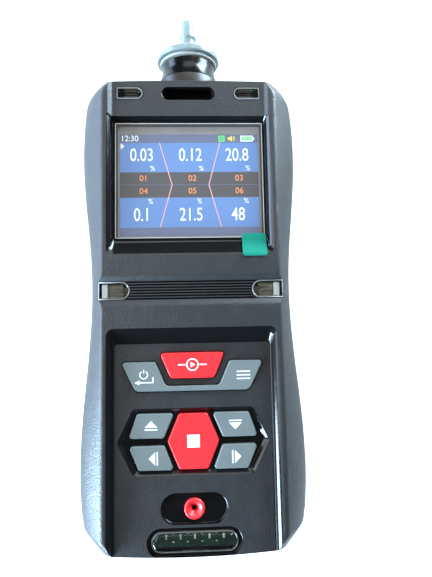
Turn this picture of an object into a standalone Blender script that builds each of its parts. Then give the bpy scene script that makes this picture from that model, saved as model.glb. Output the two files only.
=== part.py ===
"""Portable gas detector with its own sampling pump, lying on its back.

Lengths are in metres. Everything is modelled about the middle of the display, at the level of the two
side rails: X runs across the case, Y runs towards the inlet nozzle and Z points out of the face. The
last step hangs the whole on an empty that sets the origin under the middle of the object.
"""

import math
from collections import namedtuple

import bmesh
import bpy
from mathutils import Matrix, Vector

# Clearances
GAP = 0.0003  # between pieces that rest against each other
KEY_GAP = 0.0003  # between a key and the edge of its hole
RUNNING_GAP = 0.0005  # round pieces that spin

# Case, seen from the front
DISPLAY_WIDTH = 0.0530  # clear window over the display
DISPLAY_LENGTH = 0.0424
DISPLAY_OFFSET = 0.0012  # window's middle above the middle of the picture
WELL_MARGIN = 0.0004  # floor round the window
RECESS_RUN = 0.0016  # how far the side walls of the recesses lean
RAIL_WIDTH = 0.0019  # top of each side rail
FACE_HALF_WIDTH = DISPLAY_WIDTH / 2 + WELL_MARGIN + RECESS_RUN + RAIL_WIDTH
FACE_EDGE = 0.0007  # rounding along the outer edge of the face
PARTING_DEPTH = 0.0120  # below the rails, where the two shells meet
PARTING_GAP = 0.0003
UPPER_FLARE = 0.0084  # how far the sides stand out past the face's edge, at the parting line
WAIST_FLARE = 0.0051
LOWER_FLARE = 0.0090
UPPER_Y = 0.0140
WAIST_Y = -0.0376
LOWER_Y = -0.0990
END_TAPER = 0.0014  # taken off the half width 20 mm past a bulge
TAPER_LENGTH = 0.0200
CASE_TOP_Y = 0.0412
CASE_BOTTOM_Y = -0.1279
TOP_CROWN = 0.0005  # how far each end arches
BOTTOM_CROWN = 0.0013
TOP_CHAMFER = (0.0082, 0.0077)  # of the corners, across and along the case
BOTTOM_CHAMFER = (0.0086, 0.0106)
CORNER_RADIUS = 0.0050
FACE_TOP_SETBACK = 0.0050  # from the parting line's ends to the face's
FACE_BOTTOM_SETBACK = 0.0040
FACE_TOP_CROWN = 0.0003
FACE_BOTTOM_CROWN = 0.0010
FACE_TOP_CHAMFER = (0.0028, 0.0030)
FACE_BOTTOM_CHAMFER = (0.0036, 0.0045)
FACE_CORNER_RADIUS = 0.0025
WALL = 0.0024
FLANK_POWER = 1.6  # how full the flank is between face and parting line
FLANK_LEVELS = (1.0, 0.7, 0.42, 0.2)  # depths of the flank's rings, as shares of the parting depth
BACK_LEVELS = (1.0, 0.96, 0.82, 0.5, 0.0)  # depths of the rear shell's rings, as shares of its own depth
BACK_INSET = 0.0042  # rounding of the rear shell towards its back

# Recesses and thickness of the face, measured down from the rails
FOREHEAD_DEPTH = 0.0012
DISPLAY_DEPTH = 0.0030
KEYPAD_DEPTH = 0.0032
HEX_DEPTH = 0.0012  # below the keypad floor
PORT_DEPTH = 0.0016  # oval recess, below the keypad floor
FLOOR_WALL = 0.0014  # least thickness under the hexagonal recess
STEP_RUN = 0.0012  # lean of the step above the window
SLOPE_RUN = 0.0050  # lean of the slope below the window
KEYPAD_SLOPE_RUN = 0.0047
KEYPAD_TOP_Y = -0.0506
SLOPE_CORNER = 0.0023  # where a slope meets the side walls, at the face
SLOPE_FLOOR_CORNER = 0.0015
STEP_CORNER = 0.0008
VALLEY_DEPTH = 0.0010
VALLEY_FLOOR = 0.0067
VALLEY_RUN = 0.0016
GROOVE_COUNT = 7
GROOVE_PITCH = 0.00095
GROOVE_WIDTH = 0.00040
GROOVE_DEPTH = 0.00045
HEX_RUN = 0.0013
HEX_CORNER = 0.00195

# Clear windows
WINDOW_THICKNESS = 0.0012
WINDOW_PROUD = 0.0004
WINDOW_LEDGE = 0.0009
WINDOW_CORNER = 0.0010
FILM_THICKNESS = 0.00015
FILM_MARGIN = 0.0004  # between the film and the rounded edge of the window
TAB_WIDTH = 0.0084
TAB_LENGTH = 0.0082
TAB_MARGIN = 0.0002  # from the window's side
TAB_OVERLAP = 0.0019  # of the tab and the window
LENS_GAP = 0.0002
TOP_LENS_LENGTH = 0.0091
TOP_LENS_MARGIN = 0.0052  # from the face's edge
TOP_LENS_HEIGHT = 0.0042
TOP_LENS_Y = 0.0323
SLOT_LENGTH = 0.0186
SLOT_HEIGHT = 0.0046
MESH_THICKNESS = 0.0003
MESH_MARGIN = 0.0008
WAIST_LENS_LENGTH = 0.0109
WAIST_LENS_WRAP = 0.0013  # past the face's edge
WAIST_LENS_HEIGHT = 0.0061
BOTTOM_LENS_LENGTH = 0.0288
BOTTOM_LENS_HEIGHT = 0.0066
BOTTOM_LENS_Y = -0.1209
BOTTOM_RECESS_MARGIN = 0.0013
BOTTOM_RECESS_DEPTH = 0.0014
LENS_PROUD = 0.0004
LENS_LIFT = 0.00035  # of the lenses' undersides above the ceiling
BOTTOM_LENS_ROUNDING = 0.0012

# Keys: half widths and heights of their corners
KEY_TRAVEL = 0.0008
KEY_PROUD = 0.0010  # above the keypad floor
HEX_KEY_PROUD = 0.0018  # above the floor of the hexagonal recess
KEY_EDGE = 0.0004
KEY_CORNER = 0.0009
PUMP_FOOT_CORNER = 0.0014
MENU_FOOT_CORNER = 0.0022
MENU_NOTCH_CORNER = 0.0018
KEY_FLANGE = 0.0008
KEY_FLANGE_REACH = 0.00055
ROCKER_FLANGE_HALF = 0.0070
PUMP_KEY_TOP = (0.0110, -0.0588)
PUMP_KEY_BOTTOM = (0.0074, -0.0674)
MENU_OUTER_TOP = (0.0241, -0.0618)
MENU_OUTER_BOTTOM = (0.0192, -0.0716)
MENU_INNER_TOP = (0.0126, -0.0617)
MENU_INNER_BOTTOM = (0.0090, -0.0699)
STOP_KEY_TOP = (0.0048, -0.0792)
STOP_KEY_MIDDLE = (0.0086, -0.0882)
STOP_KEY_BOTTOM = (0.0048, -0.0973)
UPPER_KEY = ((0.0188, -0.0790), (0.0064, -0.0790), (0.0099, -0.0871), (0.0216, -0.0871))
LOWER_KEY = ((0.0216, -0.0896), (0.0097, -0.0896), (0.0066, -0.0975), (0.0182, -0.0975))
HEX_TOP = (0.0202, -0.0775)
HEX_MIDDLE = (0.0254, -0.0885)
HEX_BOTTOM = (0.0200, -0.0993)
PORT_Y = -0.1102
PORT_LENGTH = 0.0221
PORT_WIDTH = 0.0100
FUNNEL_RADIUS = 0.0034
FUNNEL_BORE = 0.0009
FUNNEL_STEM = 0.0021
FUNNEL_LIP = 0.0005
STEM_REACH = 0.0018  # of the funnel's stem, inside the case
MAT_THICKNESS = 0.0008
MAT_MARGIN = 0.0015  # beyond the uppermost and the lowest key
MAT_SIDE_MARGIN = 0.0001  # inside the board's edges
MAT_CORNER = 0.0020
DOME_GAP = 0.0002  # left under a key that is fully pressed

# Inside
BOARD_THICKNESS = 0.0016
BOARD_TOP_Y = 0.0340
BOARD_BOTTOM_Y = -0.1020
BOARD_CORNER = 0.0015
SENSOR_RADIUS = 0.0100
SENSOR_HEIGHT = 0.0165
SENSOR_SPACING_X = 0.0252
SENSOR_SPACING_Y = 0.0225
SENSOR_MIDDLE_Y = 0.0092
SENSOR_EDGE = 0.0006
MANIFOLD_THICKNESS = 0.0024
MANIFOLD_MARGIN = 0.0012
MANIFOLD_CORNER = 0.0080
SEAT_DEPTH = 0.0004
BATTERY_LENGTH = 0.0500
BATTERY_MARGIN = 0.0009  # between the battery and the bosses beside it
BATTERY_THICKNESS = 0.0120
BATTERY_TOP_Y = -0.0580
BATTERY_EDGE = 0.0012
PROBE_WIDTH = 0.0024
PROBE_LENGTH = 0.0036
PROBE_HEIGHT = 0.0012
PUMP_LENGTH = 0.0240
PUMP_WIDTH = 0.0170
PUMP_Y = -0.0300
PUMP_LEFT_X = -0.0210
MOTOR_RADIUS = 0.0078
MOTOR_LENGTH = 0.0180
CRANK_RADIUS = 0.0046
CRANK_LENGTH = 0.0045
CRANK_THROW = 0.0010
SHAFT_RADIUS = 0.0010
SHAFT_REACH = 1 / 3  # how far a shaft runs into its motor, as a share of the motor's length
BUZZER_RADIUS = 0.0060
BUZZER_HEIGHT = 0.0019
VIBRATOR_RADIUS = 0.0030
VIBRATOR_LENGTH = 0.0120
VIBRATOR_Y = -0.0500
VIBRATOR_X = -0.0060
WEIGHT_LENGTH = 0.0040
WEIGHT_RADIUS = 0.0026
HOSE_RADIUS = 0.0015
HOSE_BEND = 0.0045
HOSE_FOOT = 0.0015  # straight stretch at the manifold
PUMP_PORT_X = 0.0072  # outlet of the pump, from its left end
PUMP_PORT_RISE = 0.0109  # and above its foot
BOSS_RADIUS = 0.0028
BOSS_MARGIN = 0.0002  # from the opening under the window
BOSS_YS = (0.0240, -0.0600, -0.1105)
SCREW_RADIUS = 0.0012
SCREW_HEAD_RADIUS = 0.0024
SCREW_HEAD_HEIGHT = 0.0018
SCREW_SOCKET_RADIUS = 0.0012
SCREW_SOCKET_DEPTH = 0.0009
SCREW_WALL = 0.0010  # of the boss around each screw's head
SCREW_LENGTH = 0.0140
JACK_WIDTH = 0.0092
JACK_HEIGHT = 0.0034
JACK_DEPTH = 0.0076
JACK_WALL = 0.0004
JACK_INSET = 0.0012
JACK_DROP = 0.0039  # of the socket's middle below the rear shell's rim
TONGUE_WIDTH = 0.0066
TONGUE_THICKNESS = 0.0007
TONGUE_SETBACK = 0.0008  # from the socket's mouth
LAMP_LENGTH = 0.0050
LAMP_WIDTH = 0.0030
LAMP_HEIGHT = 0.0012
LAMP_MARGIN = 0.0011  # between the lower lamp's edge and the window above it
SEAL_WIDTH = 0.0010
SEAL_HEIGHT = 0.0006

# Inlet, measured along Y from the end of the case
NECK_RADIUS = 0.0115
NECK_RISE = 0.0012
NECK_INNER_END = 0.0056
COLLAR_HEIGHT = 0.0068
COLLAR_TOP_RADIUS = 0.0100
SPIGOT_RADIUS = 0.0085
SPIGOT_BORE = 0.0065
SEAL_THICKNESS = 0.0011
SEAL_RADIUS = 0.0108
CAP_RADIUS = 0.01175
CAP_RIM = 0.0018
CAP_DOME_RADIUS = 0.0094
CAP_DOME_RISE = 0.0020
CAP_TOP_RISE = 0.0014
FILTER_THICKNESS = 0.0010
FILTER_RISE = 0.0008  # of the filter's seat above the neck
BARB_LENGTH = 0.0122
BARB_RADIUS = 0.0034
BARB_TIP_RADIUS = 0.0022
BARB_NECK_RADIUS = 0.0026
BARB_BULGE = 0.42  # height of the barb's widest ring, as a share of its length
BARB_STEP = 0.0006
BARB_FLARE = 0.0012
NOZZLE_BORE = 0.0012
COLLAR_SHOULDER = 0.6  # height at which the collar starts to widen, as a share of its own height
COLLAR_BULGE = (0.35, 0.3)  # the collar's middle ring: shares of its widening and of its height

SIDES = 28  # of a round piece
SMALL_SIDES = 14
NECK_SIDES = 32
FILLET_STEPS = 3
ROUND_END_STEPS = 6
ROUND_SHARE = 0.3  # a rounded edge's middle ring lies this share of its radius from both of its faces
INNER_CORNER_SHARE = 1 / 3  # least corner radius of an inner outline, as a share of the outer one's
SHARP_ANGLE = math.radians(35)
TURN = math.tau

# Places that follow from the sizes above
UPPER_BULGE = FACE_HALF_WIDTH + UPPER_FLARE
WAIST = FACE_HALF_WIDTH + WAIST_FLARE
LOWER_BULGE = FACE_HALF_WIDTH + LOWER_FLARE
TOP_LENS_OUTER = FACE_HALF_WIDTH - TOP_LENS_MARGIN
TOP_LENS_INNER = TOP_LENS_OUTER - TOP_LENS_LENGTH
WAIST_LENS_OUTER = FACE_HALF_WIDTH + WAIST_LENS_WRAP
WAIST_LENS_INNER = WAIST_LENS_OUTER - WAIST_LENS_LENGTH
BOSS_X = DISPLAY_WIDTH / 2 - WINDOW_LEDGE + BOSS_MARGIN + BOSS_RADIUS
CEILING_Z = -(KEYPAD_DEPTH + HEX_DEPTH + FLOOR_WALL)
FLANGE_TOP_Z = CEILING_Z - GAP
FLANGE_BOTTOM_Z = FLANGE_TOP_Z - KEY_FLANGE
MAT_TOP_Z = FLANGE_BOTTOM_Z - KEY_TRAVEL - DOME_GAP
MAT_BOTTOM_Z = MAT_TOP_Z - MAT_THICKNESS
BOARD_TOP_Z = MAT_BOTTOM_Z - GAP
BOARD_BOTTOM_Z = BOARD_TOP_Z - BOARD_THICKNESS
SENSOR_TOP_Z = BOARD_BOTTOM_Z - GAP
SENSOR_BOTTOM_Z = SENSOR_TOP_Z - SENSOR_HEIGHT
MANIFOLD_TOP_Z = SENSOR_BOTTOM_Z - GAP + SEAT_DEPTH
MANIFOLD_BOTTOM_Z = MANIFOLD_TOP_Z - MANIFOLD_THICKNESS
REAR_FLOOR_Z = MANIFOLD_BOTTOM_Z - GAP
THICKNESS = WALL - REAR_FLOOR_Z
REST_Z = REAR_FLOOR_Z + GAP  # underside of what lies in the rear shell
NECK_Z = -THICKNESS / 2
DISPLAY_TOP_Y = DISPLAY_OFFSET + DISPLAY_LENGTH / 2
DISPLAY_BOTTOM_Y = DISPLAY_OFFSET - DISPLAY_LENGTH / 2
WINDOW_TOP_Z = -DISPLAY_DEPTH + WINDOW_PROUD
WINDOW_BOTTOM_Z = WINDOW_TOP_Z - WINDOW_THICKNESS
MODULE_TOP_Z = WINDOW_BOTTOM_Z - GAP
BOARD_HALF_WIDTH = BOSS_X - BOSS_RADIUS - GAP
REAR_BOSS_RADIUS = max(BOSS_RADIUS, SCREW_HEAD_RADIUS + GAP + SCREW_WALL)
BATTERY_WIDTH = 2 * (BOSS_X - REAR_BOSS_RADIUS - BATTERY_MARGIN)
JACK_Z = -PARTING_DEPTH - PARTING_GAP - JACK_DROP

Plan = namedtuple("Plan", "top bottom top_knee bottom_knee crown foot radius upper waist lower taper")
# The outline at the parting line and the smaller one of the face: a knee is the x where the end turns
# into the corner's chamfer, and the y where the chamfer turns into the side.
FACE_TOP_Y = CASE_TOP_Y - FACE_TOP_SETBACK
FACE_BOTTOM_Y = CASE_BOTTOM_Y + FACE_BOTTOM_SETBACK
PARTING = Plan(CASE_TOP_Y, CASE_BOTTOM_Y,
               (UPPER_BULGE - TOP_CHAMFER[0], CASE_TOP_Y - TOP_CHAMFER[1]),
               (LOWER_BULGE - BOTTOM_CHAMFER[0], CASE_BOTTOM_Y + BOTTOM_CHAMFER[1]),
               TOP_CROWN, BOTTOM_CROWN, CORNER_RADIUS, UPPER_BULGE, WAIST, LOWER_BULGE, END_TAPER)
FACE = Plan(FACE_TOP_Y, FACE_BOTTOM_Y,
            (FACE_HALF_WIDTH - FACE_TOP_CHAMFER[0], FACE_TOP_Y - FACE_TOP_CHAMFER[1]),
            (FACE_HALF_WIDTH - FACE_BOTTOM_CHAMFER[0], FACE_BOTTOM_Y + FACE_BOTTOM_CHAMFER[1]),
            FACE_TOP_CROWN, FACE_BOTTOM_CROWN, FACE_CORNER_RADIUS,
            FACE_HALF_WIDTH, FACE_HALF_WIDTH, FACE_HALF_WIDTH, 0.0)
NECK_BASE_Y = PARTING.top + NECK_RISE
COLLAR_TOP_Y = NECK_BASE_Y + GAP + COLLAR_HEIGHT
SEAL_BOTTOM_Y = COLLAR_TOP_Y + GAP
CAP_BOTTOM_Y = SEAL_BOTTOM_Y + SEAL_THICKNESS + GAP
CAP_SHOULDER_Y = CAP_BOTTOM_Y + CAP_RIM
BARB_BASE_Y = CAP_SHOULDER_Y + CAP_DOME_RISE + CAP_TOP_RISE
TIP_Y = BARB_BASE_Y + BARB_LENGTH


# ---------------------------------------------------------------- scene and materials

def clear_scene():
    for obj in list(bpy.data.objects):
        bpy.data.objects.remove(obj, do_unlink=True)


def new_collection(name, rendered=True):
    collection = bpy.data.collections.new(name)
    bpy.context.scene.collection.children.link(collection)
    collection.hide_render = not rendered
    return collection


def material(name, color, roughness, metallic=0.0, alpha=1.0):
    made = bpy.data.materials.new(name)
    made.use_nodes = True
    shader = made.node_tree.nodes["Principled BSDF"]
    shader.inputs["Base Color"].default_value = (*color, 1.0)
    shader.inputs["Roughness"].default_value = roughness
    shader.inputs["Metallic"].default_value = metallic
    shader.inputs["Alpha"].default_value = alpha
    return made


clear_scene()
PARTS = new_collection("portable_gas_detector")
CUTTERS = new_collection("cutters", rendered=False)

BLACK_PLASTIC = material("black_plastic", (0.032, 0.035, 0.038), 0.5)
GLOSS_BLACK = material("gloss_black", (0.012, 0.013, 0.014), 0.18)
GREY_KEY = material("grey_key", (0.23, 0.31, 0.33), 0.45)
RED_KEY = material("red_key", (0.85, 0.045, 0.055), 0.35)
CLEAR_PLASTIC = material("clear_plastic", (0.85, 0.88, 0.86), 0.08, alpha=0.35)
CLEAR_FILM = material("clear_film", (0.9, 0.92, 0.95), 0.05, alpha=0.2)
GREEN_FILM = material("green_film", (0.0, 0.42, 0.29), 0.4)
DISPLAY_GLASS = material("display_glass", (0.6, 0.62, 0.62), 0.04, alpha=0.35)
DISPLAY = material("display", (0.06, 0.13, 0.55), 0.3)
TRANSLUCENT = material("translucent_plastic", (0.75, 0.85, 0.88), 0.2, alpha=0.6)
WHITE_SILICONE = material("white_silicone", (0.8, 0.8, 0.75), 0.6)
FILTER_PAPER = material("filter_paper", (0.85, 0.85, 0.82), 0.9)
BLACK_RUBBER = material("black_rubber", (0.02, 0.02, 0.02), 0.8)
GREY_SILICONE = material("grey_silicone", (0.35, 0.36, 0.37), 0.7)
GREEN_BOARD = material("green_board", (0.01, 0.12, 0.05), 0.45)
STEEL = material("steel", (0.55, 0.56, 0.57), 0.3, metallic=1.0)
BRASS = material("brass", (0.72, 0.53, 0.25), 0.35, metallic=1.0)
BLUE_WRAP = material("blue_wrap", (0.03, 0.12, 0.42), 0.35)
WHITE_PLASTIC = material("white_plastic", (0.75, 0.76, 0.75), 0.5)
LAMP = material("lamp", (0.9, 0.88, 0.7), 0.3)


# ---------------------------------------------------------------- outlines

def fillet(before, corner, after, radius, steps=FILLET_STEPS):
    """Points along the arc that rounds a corner between its two neighbours."""
    back = (Vector(before) - Vector(corner)).normalized()
    ahead = (Vector(after) - Vector(corner)).normalized()
    half = back.angle(ahead) / 2
    centre = Vector(corner) + (back + ahead).normalized() * radius / math.sin(half)
    start = Vector(corner) + back * radius / math.tan(half) - centre
    end = Vector(corner) + ahead * radius / math.tan(half) - centre
    sweep = start.angle_signed(end)
    return [centre + Matrix.Rotation(-sweep * i / steps, 2) @ start for i in range(steps + 1)]


def rounded(corners, radii, steps=FILLET_STEPS):
    """A polygon with rounded corners. radii is one radius, or one for each corner."""
    if isinstance(radii, float):
        radii = [radii] * len(corners)
    points = []
    for i, corner in enumerate(corners):
        after = corners[(i + 1) % len(corners)]
        points += fillet(corners[i - 1], corner, after, radii[i], steps)
    return points


def rectangle(left, right, bottom, top, radius, steps=FILLET_STEPS):
    corners = [(right, bottom), (right, top), (left, top), (left, bottom)]
    return rounded(corners, radius, steps)


def circle(x, y, radius, sides=SIDES):
    angles = [TURN * i / sides for i in range(sides)]
    return [Vector((x + radius * math.cos(a), y + radius * math.sin(a))) for a in angles]


def stadium(x, y, length, height, steps=ROUND_END_STEPS):
    """A slot with round ends, centred on x and y."""
    reach = (length - height) / 2
    radius = height / 2
    points = []
    for side, first in ((1, -TURN / 4), (-1, TURN / 4)):
        for i in range(steps + 1):
            angle = first + TURN / 2 * i / steps
            centre = Vector((x + side * reach, y))
            points.append(centre + radius * Vector((math.cos(angle), math.sin(angle))))
    return points


def bullet(inner, outer, y, height, steps=ROUND_END_STEPS):
    """A slot on the +X side with a round inner end and a square outer end."""
    radius = height / 2
    points = [Vector((outer, y - radius)), Vector((outer, y + radius))]
    for i in range(steps + 1):
        angle = TURN / 4 + TURN / 2 * i / steps
        points.append(Vector((inner + radius + radius * math.cos(angle), y + radius * math.sin(angle))))
    return points


def mirrored(points):
    """The same outline on the other side of the Y axis, still anticlockwise."""
    return [Vector((-point[0], point[1])) for point in reversed(points)]


def inset(outline, distance):
    """Each side of an anticlockwise outline moved in by the distance, with mitred corners."""
    points = []
    for i, here in enumerate(outline):
        along = (here - outline[i - 1]).normalized()
        away = (outline[(i + 1) % len(outline)] - here).normalized()
        first = Vector((-along.y, along.x))
        second = Vector((-away.y, away.x))
        points.append(here + (first + second) * distance / (1 + first.dot(second)))
    return points


def half_width(plan, y):
    """Half the width of a plan at y: two bulges with a waist between them."""
    if y > UPPER_Y:
        return plan.upper - plan.taper * ((y - UPPER_Y) / TAPER_LENGTH) ** 2
    if y < LOWER_Y:
        return plan.lower - plan.taper * ((LOWER_Y - y) / TAPER_LENGTH) ** 2
    bulge, bulge_y = (plan.upper, UPPER_Y) if y > WAIST_Y else (plan.lower, LOWER_Y)
    share = (1 + math.cos(math.pi * (y - bulge_y) / (WAIST_Y - bulge_y))) / 2
    return plan.waist + (bulge - plan.waist) * share


def plan_outline(plan, margin=0.0):
    """The whole outline of a plan, moved in by a margin, anticlockwise from the bottom centre."""
    crown_steps, side_steps = 4, 13
    slant = math.tan(math.pi / 8) * margin  # how far a 135 degree corner moves along its sides
    top, bottom = plan.top - margin, plan.bottom + margin
    top_x, top_y = plan.top_knee[0] - slant, plan.top_knee[1] - slant
    bottom_x, bottom_y = plan.bottom_knee[0] - slant, plan.bottom_knee[1] + slant
    radius = max(plan.radius - margin / 2, plan.radius * INNER_CORNER_SHARE)

    bottom_end = Vector((bottom_x, bottom + plan.foot))
    bottom_side = Vector((half_width(plan, bottom_y) - margin, bottom_y))
    top_side = Vector((half_width(plan, top_y) - margin, top_y))
    top_end = Vector((top_x, top - plan.crown))
    flat = bottom_x - radius / 2
    right = [Vector((flat * i / crown_steps, 0)) for i in range(crown_steps)]
    for point in right:
        point.y = bottom + plan.foot * (point.x / bottom_x) ** 2
    right += fillet(right[-1], bottom_end, bottom_side, radius)
    above = Vector((bottom_side.x, bottom_side.y + 1))
    right += fillet(bottom_end, bottom_side, above, radius)
    low, high = right[-1].y, top_side.y - radius
    for i in range(1, side_steps):
        y = low + (high - low) * i / side_steps
        right.append(Vector((half_width(plan, y) - margin, y)))
    right += fillet(right[-1], top_side, top_end, 2 * radius)
    crown = []
    for i in reversed(range(crown_steps)):
        x = (top_x - radius / 2) * i / crown_steps
        crown.append(Vector((x, top - plan.crown * (x / top_x) ** 2)))
    right += fillet(top_side, top_end, crown[0], radius)
    right += crown
    left = [Vector((-point.x, point.y)) for point in reversed(right[1:-1])]
    return right + left


def case_ring(depth, margin=0.0):
    """Outline of the case at a depth below the rails, moved in by a margin."""
    along = min(depth / PARTING_DEPTH, 1.0)
    share = 1 - (1 - along) ** FLANK_POWER
    face = plan_outline(FACE, margin)
    parting = plan_outline(PARTING, margin)
    return [near.lerp(far, share) for near, far in zip(face, parting)]


# ---------------------------------------------------------------- solids

def to_object(name, bm, look, at=(0, 0, 0), collection=None):
    mesh = bpy.data.meshes.new(name)
    bmesh.ops.recalc_face_normals(bm, faces=bm.faces)
    bm.to_mesh(mesh)
    bm.free()
    mesh.set_sharp_from_angle(angle=SHARP_ANGLE)
    obj = bpy.data.objects.new(name, mesh)
    obj.location = at
    if look:
        mesh.materials.append(look)
    (collection or PARTS).objects.link(obj)
    return obj


def cutter(obj):
    """Makes a guide of a solid: it cuts or joins others and isn't part of the model."""
    for holder in list(obj.users_collection):
        holder.objects.unlink(obj)
    CUTTERS.objects.link(obj)
    obj.hide_render = True
    obj.display_type = "WIRE"
    return obj


def loft(name, rings, look=None, at=(0, 0, 0), concave=False):
    """A closed solid through rings of points, from the lowest to the highest."""
    bm = bmesh.new()
    loops = [[bm.verts.new(Vector(point) - Vector(at)) for point in ring] for ring in rings]
    for lower, upper in zip(loops, loops[1:]):
        for i, vertex in enumerate(lower):
            j = (i + 1) % len(lower)
            bm.faces.new((vertex, lower[j], upper[j], upper[i]))
    bm.faces.new(list(reversed(loops[0])))
    bm.faces.new(loops[-1])
    if concave:
        bm.normal_update()  # a deeply concave end isn't triangulated rightly without its normal
    bmesh.ops.triangulate(bm, faces=bm.faces)
    return to_object(name, bm, look, at)


def level(outline, z):
    return [(point[0], point[1], z) for point in outline]


def stack(name, outline, levels, look=None, at=(0, 0, 0), concave=False):
    """A solid of one outline, moved in by each level's inset at that level's z."""
    rings = [level(inset(outline, amount) if amount else outline, z) for z, amount in levels]
    return loft(name, rings, look, at, concave)


def plate(name, outline, low, high, look=None, at=(0, 0, 0)):
    return stack(name, outline, [(low, 0), (high, 0)], look, at)


def box(name, low, high, look=None, at=(0, 0, 0), bevel=0.0):
    bm = bmesh.new()
    bmesh.ops.create_cube(bm, size=1)
    size = Vector(high) - Vector(low)
    middle = (Vector(high) + Vector(low)) / 2 - Vector(at)
    bmesh.ops.scale(bm, vec=size, verts=bm.verts)
    bmesh.ops.translate(bm, vec=middle, verts=bm.verts)
    if bevel:
        bmesh.ops.bevel(bm, geom=bm.edges, offset=bevel, segments=2, profile=0.5, affect="EDGES")
    return to_object(name, bm, look, at)


def turned(name, profile, look=None, at=(0, 0, 0), axis="Z", sides=SIDES):
    """A solid turned from (radius, height) points that run down its outer side, then up its bore."""
    bm = bmesh.new()
    points = [bm.verts.new((radius, 0, height)) for radius, height in profile]
    for a, b in zip(points, points[1:]):
        bm.edges.new((a, b))
    closed = profile[0][0] > 0
    if closed:
        bm.edges.new((points[-1], points[0]))
    obj = to_object(name, bm, look, at)
    screw = obj.modifiers.new("turn", "SCREW")
    screw.steps = screw.render_steps = sides
    screw.use_merge_vertices = True
    screw.merge_threshold = 0.000001
    screw.use_smooth_shade = True
    if axis == "Y":
        obj.rotation_euler = (-TURN / 4, 0, 0)
    if axis == "X":
        obj.rotation_euler = (0, TURN / 4, 0)
    return obj


def rod(name, radius, low, high, look=None, at=(0, 0, 0), axis="Z", sides=SIDES):
    return turned(name, [(0, high), (radius, high), (radius, low), (0, low)], look, at, axis, sides)


def cut(obj, *tools):
    for tool in tools:
        change = obj.modifiers.new("cut " + tool.name, "BOOLEAN")
        change.operation = "DIFFERENCE"
        change.object = cutter(tool)


def join(obj, *tools):
    for tool in tools:
        change = obj.modifiers.new("join " + tool.name, "BOOLEAN")
        change.operation = "UNION"
        change.object = cutter(tool)


def keep_inside(obj, form):
    change = obj.modifiers.new("keep inside " + form.name, "BOOLEAN")
    change.operation = "INTERSECT"
    change.object = cutter(form)


def smooth_route(points, steps=3):
    """Points of a smooth curve through the given points, with a straight first and last stretch."""
    knots = [Vector(point) for point in points]
    route = [knots[0]]
    for a, b, c, d in zip(knots, knots[1:], knots[2:], knots[3:]):
        for i in range(steps):
            t = i / steps
            route.append(0.5 * (2 * b + (c - a) * t + (2 * a - 5 * b + 4 * c - d) * t * t
                                + (3 * b - a - 3 * c + d) * t ** 3))
    return route + knots[-2:]


def hose(name, points, radius, look):
    data = bpy.data.curves.new(name, "CURVE")
    data.dimensions = "3D"
    route = smooth_route(points)
    spline = data.splines.new("POLY")
    spline.points.add(len(route) - 1)
    for place, point in zip(spline.points, route):
        place.co = (*point, 1)
    data.bevel_depth = radius
    data.bevel_resolution = 2
    data.use_fill_caps = True
    data.materials.append(look)
    obj = bpy.data.objects.new(name, data)
    PARTS.objects.link(obj)
    return obj


# ---------------------------------------------------------------- shells

def outer_form(name):
    """The front shell's outside, with the valley across its waist but no recesses."""
    rings = []
    for share in FLANK_LEVELS:
        depth = share * PARTING_DEPTH
        rings.append(level(case_ring(depth), -depth))
    rings.append(level(case_ring(FACE_EDGE), -FACE_EDGE))
    middle = FACE_EDGE * ROUND_SHARE
    rings.append(level(case_ring(middle, middle), -middle))
    rings.append(level(case_ring(0, FACE_EDGE), 0))
    form = loft(name, rings, BLACK_PLASTIC)
    floor = VALLEY_FLOOR / 2
    brow = floor + VALLEY_RUN
    above = VALLEY_DEPTH  # the valley's walls go on above the face at the same lean
    profile = [(-brow - VALLEY_RUN, above), (-floor, -VALLEY_DEPTH), (floor, -VALLEY_DEPTH),
               (brow + VALLEY_RUN, above)]
    reach = LOWER_BULGE + WALL
    rings = [[(x, WAIST_Y + y, z) for y, z in profile] for x in (-reach, reach)]
    cut(form, loft(name + "_valley", rings))
    return form


def recess(name, top_rect, top_radius, floor_rect, floor_radius, floor_z):
    """A recess whose walls lean in from a rectangle at z = 0 to a smaller one on its floor."""
    floor = rectangle(*floor_rect, floor_radius)
    top = rectangle(*top_rect, top_radius)
    above = [upper + (upper - lower) for lower, upper in zip(floor, top)]
    return loft(name, [level(floor, floor_z), level(above, -floor_z)])


def forehead_recess():
    """The shallow open-ended recess that holds the slot and the top lenses."""
    half = FACE_HALF_WIDTH - RAIL_WIDTH - GAP
    lean = RECESS_RUN / DISPLAY_DEPTH
    start, end = DISPLAY_TOP_Y, PARTING.top + WALL
    rings = []
    for y in (start, end):
        low, high = half - lean * FOREHEAD_DEPTH, half + lean * FOREHEAD_DEPTH
        rings.append([(-low, y, -FOREHEAD_DEPTH), (low, y, -FOREHEAD_DEPTH),
                      (high, y, FOREHEAD_DEPTH), (-high, y, FOREHEAD_DEPTH)])
    return loft("forehead_recess", rings)


def display_recess():
    half = FACE_HALF_WIDTH - RAIL_WIDTH
    floor = half - RECESS_RUN
    step = STEP_RUN / (DISPLAY_DEPTH - FOREHEAD_DEPTH)
    top = DISPLAY_TOP_Y + WELL_MARGIN
    bottom = DISPLAY_BOTTOM_Y - WELL_MARGIN
    return recess("display_recess", (-half, half, bottom - SLOPE_RUN, top + step * DISPLAY_DEPTH),
                  [SLOPE_CORNER, STEP_CORNER, STEP_CORNER, SLOPE_CORNER], (-floor, floor, bottom, top),
                  [SLOPE_FLOOR_CORNER, STEP_CORNER, STEP_CORNER, SLOPE_FLOOR_CORNER], -DISPLAY_DEPTH)


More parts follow.
